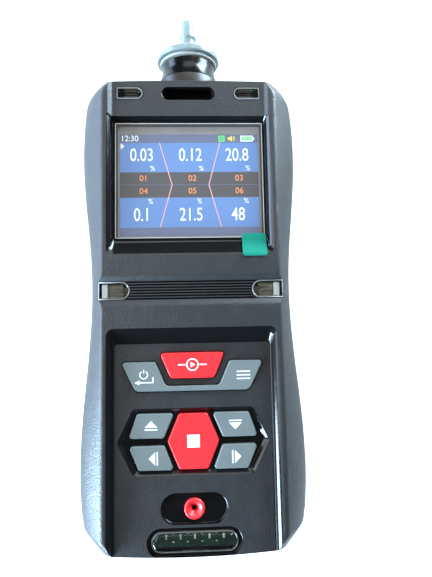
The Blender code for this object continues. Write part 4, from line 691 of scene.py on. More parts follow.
def recess(name, top_rect, top_radius, floor_rect, floor_radius, floor_z, looks):
    """A recess whose walls lean in from a rectangle at z = 0 to a smaller one on its floor.

    Its rim is rounded, and so is the foot of its walls. looks are of the walls and of the floor."""
    floor = rectangle(*floor_rect, floor_radius)
    top = rectangle(*top_rect, top_radius)
    depth = -floor_z

    def ring(z, grow=0.0):
        across, along = wall_share(min(z, 0), depth), 1 + min(z, 0) / depth
        line = [Vector((a.x + (b.x - a.x) * across, a.y + (b.y - a.y) * along))
                for a, b in zip(floor, top)]
        return level(inset(line, -grow) if grow else line, z)

    rings = [ring(floor_z + FOOT * up, -FOOT * out) for up, out in LEANING_FOOT_CURVE]
    rings += [ring(-KNEE_DEPTH - KNEE_ROUNDING), ring(-KNEE_DEPTH + KNEE_ROUNDING)]
    rings += [ring(-RIM * down, RIM * out) for down, out in LEANING_RIM_CURVE]
    return loft(name, rings, looks, ends=(1, 0))


def wall_share(z, depth):
    """How far out a side wall is at z: steep up to its knee, bevelled above it."""
    if z < -KNEE_DEPTH:
        return KNEE_SHARE * (z + depth) / (depth - KNEE_DEPTH)
    return 1 + (1 - KNEE_SHARE) * z / KNEE_DEPTH


def forehead_recess():
    """The shallow open-ended recess that holds the slot and the top lenses."""
    half = FACE_HALF_WIDTH - RAIL_WIDTH - GAP
    start, end = DISPLAY_TOP_Y, PARTING.top + WALL

    def reach(z):
        return half - RECESS_RUN * (1 - wall_share(z, DISPLAY_DEPTH))

    side = [(reach(-FOREHEAD_DEPTH) - FOOT, -FOREHEAD_DEPTH), (reach(-KNEE_DEPTH), -KNEE_DEPTH)]
    for down, out in LEANING_RIM_CURVE:
        edge = reach(-RIM * down) if down > 0.1 else half
        side.append((edge + RIM * out, -RIM * down))
    profile = side + [(-x, z) for x, z in reversed(side)]
    rings = [[(x, y, z) for x, z in profile] for y in (start, end)]
    return loft("forehead_recess", rings, [CASE])


def display_recess():
    half = FACE_HALF_WIDTH - RAIL_WIDTH
    floor = half - RECESS_RUN
    step = STEP_RUN / (DISPLAY_DEPTH - FOREHEAD_DEPTH)
    top = DISPLAY_TOP_Y + WELL_MARGIN
    bottom = DISPLAY_BOTTOM_Y - WELL_MARGIN
    return recess("display_recess", (-half, half, bottom - SLOPE_RUN, top + step * DISPLAY_DEPTH),
                  [SLOPE_CORNER, STEP_CORNER, STEP_CORNER, SLOPE_CORNER], (-floor, floor, bottom, top),
                  [SLOPE_FLOOR_CORNER, STEP_CORNER, STEP_CORNER, SLOPE_FLOOR_CORNER], -DISPLAY_DEPTH,
                  [GLOSS, GLOSS])


def keypad_recess():
    half = FACE_HALF_WIDTH - RAIL_WIDTH
    floor = half - RECESS_RUN
    end = PARTING.bottom - WALL
    return recess("keypad_recess", (-half, half, end, KEYPAD_TOP_Y),
                  [STEP_CORNER, SLOPE_CORNER, SLOPE_CORNER, STEP_CORNER],
                  (-floor, floor, end, KEYPAD_TOP_Y - KEYPAD_SLOPE_RUN),
                  [STEP_CORNER, SLOPE_FLOOR_CORNER, SLOPE_FLOOR_CORNER, STEP_CORNER], -KEYPAD_DEPTH,
                  [GLOSS, CASE])


def groove_cutters():
    """Fine round-bottomed grooves across the waist, which run into the holes of the waist lenses."""
    reach = WAIST_LENS_INNER + WAIST_LENS_HEIGHT / 2
    side = [(GROOVE_WIDTH / 2 * out, -GROOVE_DEPTH * down) for out, down in GROOVE_CURVE]
    profile = side + [(-y, z) for y, z in reversed(side)]
    for i in range(GROOVE_COUNT):
        middle = WAIST_Y + (i - (GROOVE_COUNT - 1) / 2) * GROOVE_PITCH
        rings = [[(x, middle + y, z - VALLEY_DEPTH) for y, z in profile] for x in (-reach, reach)]
        yield loft(f"groove_{i + 1}", rings, [GLOSS])


def rim_levels(z, rim):
    return [(z - rim * down, -rim * out) for down, out in RIM_CURVE]


def hole(name, outline, rim_z, rim=RIM * 0.7):
    """A cutter straight down from a surface at rim_z, with a rounded rim there."""
    return stack(name, outline, [(CEILING_Z - WALL, 0)] + rim_levels(rim_z, rim), [GLOSS])


def well(name, outline, rim_z, floor_z):
    """A shallow recess with upright walls, a rounded rim and a rounded foot."""
    foot = [(floor_z + FOOT * up, FOOT * out) for up, out in FOOT_CURVE]
    return stack(name, outline, foot + rim_levels(rim_z, RIM), [GLOSS])


def hex_recess():
    corners = [flip(HEX_MIDDLE), flip(HEX_BOTTOM), HEX_BOTTOM, HEX_MIDDLE, HEX_TOP, flip(HEX_TOP)]
    outline = rounded(corners, 1.5 * HEX_RUN)
    rim, floor = -KEYPAD_DEPTH, -KEYPAD_DEPTH - HEX_DEPTH
    small = RIM * 0.6
    levels = [(floor, HEX_RUN + small), (floor + small * 0.3, HEX_RUN),
              (rim - small, small * (HEX_RUN / HEX_DEPTH))]
    levels += [(rim - small * down, -small * out) for down, out in HEX_RIM_CURVE]
    return stack("hex_recess", outline, levels, [GLOSS])


def boss_places():
    for y in BOSS_YS:
        for side in (-1, 1):
            yield side * BOSS_X, y


def neck_cutter():
    return rod("neck_hole", NECK_RADIUS + GAP, PARTING.top - NECK_INNER_END - GAP, PARTING.top + WALL,
               [CASE], (0, 0, NECK_Z), "Y", SIDES)


def window_outline():
    return rectangle(-DISPLAY_WIDTH / 2, DISPLAY_WIDTH / 2, DISPLAY_BOTTOM_Y, DISPLAY_TOP_Y, WINDOW_CORNER)


def front_housing(keys, lenses):
    shell = outer_form("front_shell")
    shell.data.materials.append(GLOSS)
    combine(shell, [forehead_recess(), display_recess(), keypad_recess(), hex_recess(), *groove_cutters()],
            "DIFFERENCE")
    cavity = [level(case_ring(PARTING_DEPTH, WALL), -PARTING_DEPTH - WALL)]
    for depth in (PARTING_DEPTH, (PARTING_DEPTH - CEILING_Z) / 2, -CEILING_Z):
        cavity.append(level(case_ring(depth, WALL), -depth))
    combine(shell, [loft("front_cavity", cavity, [CASE])], "DIFFERENCE")
    boss_end = -PARTING_DEPTH - WALL
    bosses = [rod("boss", BOSS_RADIUS, boss_end, CEILING_Z + FLOOR_WALL / 2, [CASE], (x, y, 0))
              for x, y in boss_places()]
    combine(shell, bosses, "UNION")
    screw_end = boss_end + SCREW_LENGTH / 2
    cutters = [rod("pilot", SCREW_RADIUS + GAP, boss_end - WALL, screw_end, [CASE], (x, y, 0))
               for x, y in boss_places()]
    pad = -KEYPAD_DEPTH
    pane = window_outline()
    cutters += [
        well("port_recess", stadium(0, PORT_Y, PORT_LENGTH, PORT_WIDTH), pad, pad - PORT_DEPTH),
        hole("port_hole", circle(0, PORT_Y, FUNNEL_STEM + GAP, PORT_SIDES), pad - PORT_DEPTH),
        well("lamp_recess", inset(lenses["bottom_lens"], -BOTTOM_RECESS_MARGIN), pad,
             pad - BOTTOM_RECESS_DEPTH),
        hole("sound_slot", stadium(0, TOP_LENS_Y, SLOT_LENGTH, SLOT_HEIGHT), -FOREHEAD_DEPTH),
        plate("window_pocket", inset(pane, -GAP), WINDOW_BOTTOM_Z - GAP, -DISPLAY_DEPTH + GAP, [GLOSS]),
        plate("display_opening", inset(pane, WINDOW_LEDGE), CEILING_Z - WALL, -DISPLAY_DEPTH, [GLOSS]),
    ]
    for name, outline in keys.items():
        rim = pad - HEX_DEPTH if in_hexagon(name) else pad
        cutters.append(hole(name + "_hole", inset(outline, -KEY_GAP), rim, RIM * 0.4))
    rims = {"top": -FOREHEAD_DEPTH, "waist": WALL, "bottom": pad - BOTTOM_RECESS_DEPTH}
    for name, outline in lenses.items():
        rim = rims[name.split("_")[0]]
        cutters.append(hole(name + "_hole", inset(outline, -LENS_GAP), rim, RIM * 0.5))
    cutters.append(neck_cutter())
    combine(shell, cutters, "DIFFERENCE")
    shade(shell)
    place(shell, "case", "front_housing", slot="case_plastic")


def rear_rings(top_z, floor_z, wall):
    rings = []
    for i in range(BACK_STEPS + 1):
        share = math.cos(TURN / 4 * i / BACK_STEPS)
        margin = wall + BACK_INSET * (1 - math.sqrt(max(1 - share ** 2, 0)))
        rings.append(level(plan_outline(PARTING, margin), top_z + (floor_z - top_z) * share))
    return rings


def rear_housing():
    top = -PARTING_DEPTH - PARTING_GAP
    shell = loft("rear_shell", rear_rings(top, -THICKNESS, 0), [CASE])
    cavity = rear_rings(top, REAR_FLOOR_Z, WALL)
    cavity.append(level(plan_outline(PARTING, WALL), top + WALL))
    rabbet = plate("rabbet", plan_outline(PARTING, WALL - SEAL_WIDTH - GAP), top - SEAL_HEIGHT - GAP,
                   top + WALL, [CASE])
    combine(shell, [loft("rear_cavity", cavity, [CASE]), rabbet], "DIFFERENCE")
    head_seat = -PARTING_DEPTH - WALL - SCREW_LENGTH / 2 - GAP
    boss_top = -PARTING_DEPTH - WALL - GAP
    boss_radius = max(BOSS_RADIUS, SCREW_HEAD_RADIUS + GAP + SCREW_WALL)
    bosses = [rod("boss", boss_radius, REAR_FLOOR_Z - WALL / 2, boss_top, [CASE], (x, y, 0))
              for x, y in boss_places()]
    mouth = PARTING.bottom + JACK_INSET
    jack_low = Vector((-JACK_WIDTH / 2, mouth, NECK_Z - JACK_HEIGHT / 2))
    jack_high = Vector((JACK_WIDTH / 2, mouth + JACK_DEPTH, NECK_Z + JACK_HEIGHT / 2))
    post_y = PARTING.bottom + WALL + BACK_INSET
    bosses.append(box("jack_post", (jack_low.x, post_y, REAR_FLOOR_Z - WALL / 2),
                      (jack_high.x, max(jack_high.y, post_y) + WALL, jack_low.z - GAP), [CASE]))
    combine(shell, bosses, "UNION")
    bore, head = SCREW_RADIUS + GAP, SCREW_HEAD_RADIUS + GAP
    cutters = []
    for x, y in boss_places():
        cutters.append(turned("bore", [
            (0, boss_top + WALL), (bore, boss_top + WALL), (bore, head_seat), (head, head_seat),
            (head, -THICKNESS + RIM), (head + RIM * 0.5, -THICKNESS), (head + RIM * 2, -THICKNESS - RIM),
            (head + RIM * 2, -THICKNESS - WALL), (0, -THICKNESS - WALL)], [CASE], (x, y, 0),
            sides=SCREW_SIDES))
    opening = rectangle(jack_low.x - GAP, jack_high.x + GAP, jack_low.z - GAP, jack_high.z + GAP,
                        JACK_CORNER)
    rings = [[(point.x, y, point.y) for point in opening] for y in (PARTING.bottom - WALL, jack_high.y + GAP)]
    cutters.append(loft("jack_opening", rings, [CASE]))
    cutters.append(neck_cutter())
    combine(shell, cutters, "DIFFERENCE")
    shade(shell)
    place(shell, "case", "rear_housing", slot="case_plastic")


# ---------------------------------------------------------------- keys

def in_hexagon(name):
    return name in ("key_stop", "key_up", "key_down", "key_left", "key_right")


def flip(point):
    return (-point[0], point[1])


def both_sides(right):
    """An outline from its corners on the +X side, which start at the bottom."""
    return [flip(right[0]), *right, *(flip(point) for point in reversed(right[1:]))]


def key_outlines():
    pump = both_sides([PUMP_KEY_BOTTOM, PUMP_KEY_TOP])
    menu = both_sides([MENU_OUTER_BOTTOM, MENU_OUTER_TOP, MENU_INNER_TOP, MENU_INNER_BOTTOM])
    stop = both_sides([STOP_KEY_BOTTOM, STOP_KEY_MIDDLE, STOP_KEY_TOP])
    upper, lower = rounded(UPPER_KEY, KEY_CORNER), rounded(LOWER_KEY, KEY_CORNER)
    menu_radii = [MENU_FOOT_CORNER, MENU_FOOT_CORNER, KEY_CORNER, KEY_CORNER,
                  MENU_NOTCH_CORNER, MENU_NOTCH_CORNER, KEY_CORNER, KEY_CORNER]
    return {
        "key_pump": rounded(pump, [PUMP_FOOT_CORNER, PUMP_FOOT_CORNER, KEY_CORNER, KEY_CORNER]),
        "key_power_menu": rounded(menu, menu_radii), "key_stop": rounded(stop, KEY_CORNER),
        "key_up": mirrored(upper), "key_down": upper, "key_left": mirrored(lower), "key_right": lower,
    }


def key_body(name):
    return "rocker" if name == "key_power_menu" else name + "_body"


def key_top(name):
    return -KEYPAD_DEPTH + (HEX_KEY_PROUD - HEX_DEPTH if in_hexagon(name) else KEY_PROUD)


def key_pieces(outlines):
    for name, outline in outlines.items():
        look = RED if name in ("key_pump", "key_stop") else GREY
        top = key_top(name)
        levels = [(FLANGE_BOTTOM_Z, 0)] + rounded_edge(top, KEY_EDGE, 6)
        body = stack(name + "_cap", outline, levels, [look])
        flange = inset(outline, -KEY_FLANGE_REACH)
        if name == "key_power_menu":
            low = MENU_OUTER_BOTTOM[1] - KEY_FLANGE_REACH
            flange = rectangle(-ROCKER_FLANGE_HALF, ROCKER_FLANGE_HALF, low,
                               MENU_INNER_BOTTOM[1] - KEY_EDGE, KEY_EDGE)
        combine(body, [plate("flange", flange, FLANGE_BOTTOM_Z, FLANGE_TOP_Z, [look])], "UNION")
        shade(body)
        slot = "red_plastic" if look is RED else "grey_key"
        place(body, key_body(name), name, slot=slot)


def prism(bm, outline, low, high):
    """Adds an upright prism over an anticlockwise outline."""
    bottom = [bm.verts.new((x, y, low)) for x, y in outline]
    top = [bm.verts.new((x, y, high)) for x, y in outline]
    bm.faces.new(list(reversed(bottom)))
    bm.faces.new(top)
    for i, vertex in enumerate(bottom):
        j = (i + 1) % len(bottom)
        bm.faces.new((vertex, bottom[j], top[j], top[i]))


def printed(name, outlines, z, body, look=INK):
    bm = bmesh.new()
    for outline in outlines:
        prism(bm, outline, z, z + PRINT)
    place(to_object(name, bm, [look]), body)


def bar(x, y, width, height):
    half, rise = width / 2, height / 2
    return [(x - half, y - rise), (x + half, y - rise), (x + half, y + rise), (x - half, y + rise)]


def arrow(x, y, size, direction):
    """A triangle and a bar on its base side, pointing along a direction in the plane."""
    along = Vector(direction)
    across = Vector((-along.y, along.x))
    here = Vector((x, y))
    half, gap, thick = size * 0.98, size * 0.22, size * 0.20
    near, far = here - along * gap, here - along * (gap + thick)
    triangle = [here + across * half, here - across * half, here + along * size]
    strip = [near + across * half, far + across * half, far - across * half, near - across * half]
    return [triangle, strip]


def ring_arc(x, y, radius, width, start, end, steps=20):
    """A bent bar along part of a circle, angles in turns."""
    angles = [TURN * (start + (end - start) * i / steps) for i in range(steps + 1)]
    outer, inner = ([(x + r * math.cos(a), y + r * math.sin(a)) for a in angles]
                    for r in (radius + width / 2, radius - width / 2))
    return outer + inner[::-1]


def key_prints():
    """White signs on the keys: arrows, a stop square, and plain signs where the real keys have words."""
    def sign(name, outlines):
        printed(name + "_sign", outlines, key_top(name) + HAIR, key_body(name))

    for name, (x, y), direction in ARROWS:
        sign(name, arrow(x, y, ARROW_SIZE, direction))
    sign("key_stop", [bar(0, STOP_KEY_MIDDLE[1], STOP_SIGN_SIDE, STOP_SIGN_SIDE)])
    x, y = 0, PUMP_SIGN_Y
    sign("key_pump", [
        ring_arc(x, y, 0.0019, STROKE, 0, 1 - 1e-4, 40), bar(x - 0.0036, y, 0.0024, STROKE),
        bar(x + 0.0036, y, 0.0024, STROKE),
        [(x - 0.0006, y - 0.0009), (x + 0.0010, y), (x - 0.0006, y + 0.0009)]])
    x, y = POWER_SIGN
    power = [ring_arc(x, y, 0.0013, THIN_STROKE, 0.34, 1.16), bar(x, y + 0.0011, THIN_STROKE, 0.0013)]
    y -= 0.0026
    enter = [bar(x + 0.0008, y, 0.0050, STROKE), bar(x + 0.0031, y + 0.0009, STROKE, 0.0018),
             [(x - 0.0032, y), (x - 0.0014, y - 0.0008), (x - 0.0014, y + 0.0008)]]
    x, y = MENU_SIGN
    sign("key_power_menu", power + enter + [bar(x, y - MENU_PITCH * i, 0.0046, STROKE) for i in range(3)])


# ---------------------------------------------------------------- display and lenses

def words(bm, text, x, y, height, low, squeeze=1.0, bold=0.0):
    """Adds numbers in the built-in typeface, centred on x and y, as thin solids."""
    curve = bpy.data.curves.new("number", "FONT")
    curve.body = text
    curve.align_x, curve.align_y = "CENTER", "CENTER"
    curve.extrude = PRINT / 2 / height
    curve.offset = bold
    obj = bpy.data.objects.new("number", curve)
    bpy.context.scene.collection.objects.link(obj)
    bpy.context.view_layer.update()
    graph = bpy.context.evaluated_depsgraph_get()
    mesh = bpy.data.meshes.new_from_object(obj.evaluated_get(graph), depsgraph=graph)
    mesh.transform(Matrix.Translation((x, y, low + PRINT / 2))
                   @ Matrix.Diagonal((height * squeeze, height, height, 1)))
    bm.from_mesh(mesh)
    bmesh.ops.remove_doubles(bm, verts=bm.verts, dist=WELD)
    bpy.data.objects.remove(obj, do_unlink=True)
    bpy.data.curves.remove(curve)
    bpy.data.meshes.remove(mesh)


def display_picture(base):
    """Bands, dividing lines, numbers and small signs of a generic readout."""
    over = base + PRINT + HAIR
    fore = over + PRINT + HAIR

    def show(name, outlines, look, z=over):
        printed("display_" + name, outlines, z, "case", look)

    unit = PICTURE_HEIGHT / sum(BAND_ROWS)
    y = PICTURE_HEIGHT / 2
    bands = []
    for rows in BAND_ROWS:
        bands.append((y - rows * unit, y))
        y -= rows * unit
    for name, look, rows in (("bars", LIT_BAR, (0, 5)), ("cells", LIT_BLUE, (1, 4)),
                             ("labels", LIT_GREY, (2, 3))):
        show(name, [bar(0, sum(bands[i]) / 2, PICTURE_WIDTH, bands[i][1] - bands[i][0]) for i in rows],
             look, base)
    top, middle, bottom = bands[1][1], bands[2][0], bands[4][0]
    lines = []
    for outer, inner in DIVIDERS:
        for (low_x, low_y), (high_x, high_y) in (((inner, middle), (outer, top)),
                                                 ((outer, bottom), (inner, middle))):
            lines.append([(low_x - DIVIDER_HALF, low_y), (low_x + DIVIDER_HALF, low_y),
                          (high_x + DIVIDER_HALF, high_y), (high_x - DIVIDER_HALF, high_y)])
    show("dividers", lines, LIT_PINK)
    show("midline", [bar(0, middle, PICTURE_WIDTH, MIDLINE)], LIT_BAR)
    numbers, labels = bmesh.new(), bmesh.new()
    for texts, at in zip(VALUES, (top - 0.0046, bottom + 0.0044)):
        for text, x in zip(texts, COLUMNS):
            words(numbers, text, x, at, VALUE_HEIGHT, over, VALUE_SQUEEZE, VALUE_BOLD)
    for x in COLUMNS:
        words(numbers, "%", x + 0.0038, bands[1][0] + 0.0013, UNIT_HEIGHT, over)
        words(numbers, "%", x + 0.0030, bands[4][1] - 0.0014, UNIT_HEIGHT, over)
    left, y = -PICTURE_WIDTH / 2, sum(bands[0]) / 2
    words(numbers, "12:30", left + 0.0034, y, SMALL_HEIGHT, over, CLOCK_SQUEEZE)
    for i, x in enumerate(COLUMNS):
        for first, row in ((1, 2), (4, 3)):
            words(labels, f"0{i + first}", x + 0.0006, sum(bands[row]) / 2, SMALL_HEIGHT, over)
    place(to_object("display_numbers", numbers, [LIT_WHITE]), "case")
    place(to_object("display_channel_numbers", labels, [LIT_ORANGE]), "case")
    cursor_y = top - 0.0012
    cursor = [(left + 0.0003, cursor_y - 0.0011), (left + 0.0016, cursor_y),
              (left + 0.0003, cursor_y + 0.0011)]
    show("battery_frame", [cursor, bar(BATTERY_X, y, 0.0044, 0.0022), bar(BATTERY_TIP_X, y, 0.0005, 0.0010)],
         LIT_WHITE)
    show("battery", [bar(CELL_X + CELL_PITCH * i, y, 0.00075, 0.0015) for i in range(CELLS)], LIT_GREEN, fore)
    show("mark", [bar(MARK_X, y, MARK_SIDE, MARK_SIDE)], LIT_GREEN)
    show("mark_ring", [ring_arc(MARK_X, y, MARK_RADIUS, MARK_STROKE, 0, 0.98)], LIT_BAR, fore)
    horn = [(HORN_ROOT_X, y - 0.0004), (HORN_MOUTH_X, y - 0.0011), (HORN_MOUTH_X, y + 0.0011),
            (HORN_ROOT_X, y + 0.0004)]
    waves = [bar(SOUND_X, y + rise, 0.0006, 0.00025) for rise in (0, SOUND_PITCH, -SOUND_PITCH)]
    show("sound_sign", [bar(HORN_X, y, 0.0007, 0.0009), horn, *waves], LIT_YELLOW)


def display_pieces():
    pane = window_outline()
    edge = WINDOW_PROUD / 2
    window = plate("window", pane, WINDOW_BOTTOM_Z, WINDOW_TOP_Z, [GLASS], edge)
    place(window, "case", "display_window", slot="display_glass")
    film_low = WINDOW_TOP_Z + FILM_THICKNESS
    sheet = inset(pane, edge + FILM_MARGIN)
    film = plate("film", sheet, film_low, film_low + FILM_THICKNESS, [FILM], FILM_THICKNESS / 3)
    place(film, "case", "protective_film", slot="clear_film")
    rim_low = film_low + FILM_THICKNESS + HAIR
    place(band("film_edge", sheet, FILM_EDGE_WIDTH, rim_low, rim_low + PRINT, FILM_EDGE), "case")
    side = WINDOW_LEDGE + GAP
    reach = DISPLAY_WIDTH / 2 - side
    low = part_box("display_module")[0][2] - ORIGIN.z
    frame_line = rectangle(-reach, reach, DISPLAY_BOTTOM_Y + side, DISPLAY_TOP_Y - side, MODULE_CORNER)
    module = plate("display_frame", frame_line, low, MODULE_TOP_Z, [BEZEL], MODULE_EDGE)
    place(module, "case", "display_module", slot="display")
    display_picture(MODULE_TOP_Z + 2 * HAIR)


def bend(before, corner, after, limit, steps):
    """Points of a curve that rounds a corner from at most this far before it to as far after it."""
    back, ahead = before - corner, after - corner
    cut = min(limit, back.length * 0.45, ahead.length * 0.45)
    first, last = corner + back.normalized() * cut, corner + ahead.normalized() * cut
    shares = [k / steps for k in range(steps + 1)]
    return [first.lerp(corner, share).lerp(corner.lerp(last, share), share) for share in shares]


def film_tab():
    """The pull tab, which lies over the window's edge and along the slope below it."""
    slope_y = DISPLAY_BOTTOM_Y - WELL_MARGIN
    face_y = slope_y - SLOPE_RUN
    film_top = WINDOW_TOP_Z + 2 * FILM_THICKNESS
    meet_y = slope_y - SLOPE_RUN * (DISPLAY_DEPTH + film_top) / DISPLAY_DEPTH
    top_y = DISPLAY_BOTTOM_Y + TAB_OVERLAP
    end = min(top_y - TAB_LENGTH, face_y - GAP)
    knots = [Vector((top_y, film_top + GAP)), Vector((meet_y, film_top + GAP)), Vector((face_y, GAP)),
             Vector((end, GAP))]
    path = [knots[0]]
    for corner in zip(knots, knots[1:], knots[2:]):
        path += bend(*corner, math.inf, TAB_BEND_STEPS)
    path.append(knots[-1])
    lengths = [0.0]
    for a, b in zip(path, path[1:]):
        lengths.append(lengths[-1] + (b - a).length)

    def at(s):
        for i in range(len(path) - 1):
            if s <= lengths[i + 1] or i == len(path) - 2:
                share = (s - lengths[i]) / (lengths[i + 1] - lengths[i])
                return path[i].lerp(path[i + 1], min(share, 1))

    right = DISPLAY_WIDTH / 2 - TAB_MARGIN
    rings = []
    for i in range(TAB_ACROSS + 1):
        u = -math.cos(math.pi * i / TAB_ACROSS)  # closer together at the sides
        x = right - TAB_WIDTH / 2 + u * TAB_WIDTH / 2
        near = abs(u) * TAB_WIDTH / 2 - (TAB_WIDTH / 2 - TAB_CORNER)
        trim = TAB_CORNER - math.sqrt(max(TAB_CORNER ** 2 - near ** 2, 0)) if near > 0 else 0.0
        trim = min(trim, TAB_CORNER * 0.98)  # the sides keep a little length
        line = [at(trim + (lengths[-1] - 2 * trim) * k / TAB_ALONG) for k in range(TAB_ALONG + 1)]
        rings.append([(x, p.x, p.y) for p in line]
                     + [(x, p.x, p.y + FILM_THICKNESS) for p in reversed(line)])
    place(loft("tab", rings, [TEAL], sharp=50), "case", "film_tab", slot="green_film")


def lens_outlines():
    top = bullet(TOP_LENS_INNER, TOP_LENS_OUTER, TOP_LENS_Y, TOP_LENS_HEIGHT)
    waist = bullet(WAIST_LENS_INNER, WAIST_LENS_OUTER, WAIST_Y, WAIST_LENS_HEIGHT)
    bottom = stadium(0, BOTTOM_LENS_Y, BOTTOM_LENS_LENGTH, BOTTOM_LENS_HEIGHT)
    return {"top_lens_right": top, "top_lens_left": mirrored(top), "waist_lens_right": waist,
            "waist_lens_left": mirrored(waist), "bottom_lens": bottom}


def ribs(left, right, z):
    """Cutters for the fine prisms along a top lens's underside."""
    pitch = (TOP_LENS_HEIGHT - RIB_MARGIN) / RIB_COUNT
    for i in range(RIB_COUNT):
        y = TOP_LENS_Y + pitch * (i - (RIB_COUNT - 1) / 2)
        rings = [[(x, y - pitch * 0.35, z - RIB_DEPTH * 0.2), (x, y + pitch * 0.35, z - RIB_DEPTH * 0.2),
                  (x, y, z + RIB_DEPTH)] for x in (left, right)]
        yield loft("top_rib", rings, [LENS])


def lens_pieces(outlines):
    low = CEILING_Z + FLOOR_WALL / 4
    for side in ("left", "right"):
        sign = 1 if side == "right" else -1
        top = -FOREHEAD_DEPTH + LENS_PROUD / 2
        outline = outlines[f"top_lens_{side}"]
        # a pale band around the window: a painted highlight along its edge
        rim = band(f"top_window_edge_highlight_{side}", outline, LENS_RIM - HAIR, top - WALL / 3, top, LENS_EDGE_HIGHLIGHT)
        place(rim, "case")
        lens = plate(f"top_window_{side}", inset(outline, LENS_RIM), low, top, [LENS])
        left, right = sorted((sign * TOP_LENS_INNER, sign * TOP_LENS_OUTER))
        combine(lens, list(ribs(left + RIB_INNER, right - RIB_OUTER, low)), "DIFFERENCE")
        shade(lens)
        place(lens, "case", f"top_lens_{side}", slot="clear_lens")
        outline = outlines[f"waist_lens_{side}"]
        # a pale band around the window: a painted highlight along its edge
        rim = band(f"waist_window_edge_highlight_{side}", outline, LENS_RIM - HAIR, low, WALL, LENS_EDGE_HIGHLIGHT)
        combine(rim, [outer_form("form")], "INTERSECT")
        rim.data.materials.clear()
        rim.data.materials.append(LENS_EDGE_HIGHLIGHT)
        place(rim, "case")
        lens = plate(f"waist_window_{side}", inset(outline, LENS_RIM), low, WALL, [LENS])
        combine(lens, [outer_form("form")], "INTERSECT")
        lens.data.materials.clear()
        lens.data.materials.append(LENS)
        left, right = sorted((sign * WAIST_LENS_INNER, sign * WAIST_LENS_OUTER))
        # a pale glowing block at the window's outer end: a painted highlight of the light caught there
        near, far = sorted((sign * BLOCK_INNER, sign * BLOCK_OUTER))
        half = WAIST_LENS_HEIGHT / 2 - BLOCK_MARGIN
        block = box(f"waist_painted_glint_{side}", (near, WAIST_Y - half, low), (far, WAIST_Y + half, BLOCK_TOP),
                    [PAINTED_GLINT_BLOCK], SOFT_EDGE)
        place(block, "case")
        pocket = box("pocket", (near - GAP / 3, WAIST_Y - half - GAP / 3, low - WALL),
                     (far + GAP / 3, WAIST_Y + half + GAP / 3, BLOCK_TOP + GAP / 3), [LENS])
        near, far = sorted((sign * GUIDE_INNER, sign * (BLOCK_INNER - GAP / 3)))
        # the guide's faint glow is painted light, for the light that would come in through the lens
        guide = box(f"waist_guide_{side}", (near, WAIST_Y - half, low), (far, WAIST_Y + half, GUIDE_TOP),
                    [REFLECTOR_PAINTED_GLOW], SOFT_EDGE)
        place(guide, "case")
        slot = box("pocket", (near - GAP / 3, WAIST_Y - half - GAP / 3, low - WALL),
                   (far, WAIST_Y + half + GAP / 3, GUIDE_TOP + GAP / 3), [LENS])
        combine(lens, [pocket, slot], "DIFFERENCE")
        shade(lens)
        place(lens, "case", f"waist_lens_{side}", slot="clear_lens")
    top = -KEYPAD_DEPTH + LENS_PROUD
    outline = outlines["bottom_lens"]
    # a pale band around the window: a painted highlight along its edge
    place(band("bottom_window_edge_highlight", outline, LENS_RIM - HAIR, low, top - BOTTOM_LENS_EDGE, LENS_EDGE_HIGHLIGHT), "case")
    levels = [(low, 0)] + rounded_edge(top, BOTTOM_LENS_EDGE, 7)
    lens = stack("bottom_window", inset(outline, LENS_RIM), levels, [LENS])
    shade(lens)
    place(lens, "case", "bottom_lens", slot="clear_lens")


def lamp_pieces():
    """A reflector tray in the place of each plain lamp, and a strip of small lamps for the bottom lens."""
    for name in ("lamp_top_left", "lamp_top_right", "lamp_waist_left", "lamp_waist_right"):
        low, high = (Vector(corner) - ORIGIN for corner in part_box(name))
        # the tray's faint glow is painted light, for the light that would come in through the lens
        tray = box(name + "_tray", low, high, [REFLECTOR_PAINTED_GLOW, LAMP], SOFT_EDGE)
        wall = Vector((*TRAY_WALL, 0))
        cup_low, cup_high = low + wall, high - wall
        cup_low.z, cup_high.z = (low.z + high.z) / 2, high.z + 0.001
        combine(tray, [box("cup", cup_low, cup_high, [REFLECTOR_PAINTED_GLOW])], "DIFFERENCE")
        shade(tray)
        place(tray, "case", name, slot="lamp")
    low, high = (Vector(corner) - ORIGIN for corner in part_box("lamp_bottom"))
    deck = high.z - LAMP_RISE
    strip = box("lamp_strip", low, (high.x, high.y, deck), [STRIP], LAMP_RISE / 3)
    place(strip, "case", "lamp_bottom", slot="lamp")
    middle = (low.y + high.y) / 2
    for i in range(STRIP_LAMPS):
        x = (i - (STRIP_LAMPS - 1) / 2) * STRIP_PITCH
        y = middle + STRIP_STAGGER * (1, -1)[i % 2]
        lamp = box(f"strip_lamp_{i + 1}", (x - LAMP_SIDE, y - LAMP_SIDE / 2, deck + HAIR),
                   (x + LAMP_SIDE, y + LAMP_SIDE / 2, high.z), [LAMP], LAMP_RISE / 4)
        place(lamp, "case")


# ---------------------------------------------------------------- inlet and outlet

def soften(profile, radius):
    """Rounds the corners of a closed line of (radius, height) points by about this much."""
    points = [Vector(point) for point in profile]
    line = []
    for i, corner in enumerate(points):
        line += bend(points[i - 1], corner, points[(i + 1) % len(points)], radius, 4)
    return [tuple(point) for point in line]


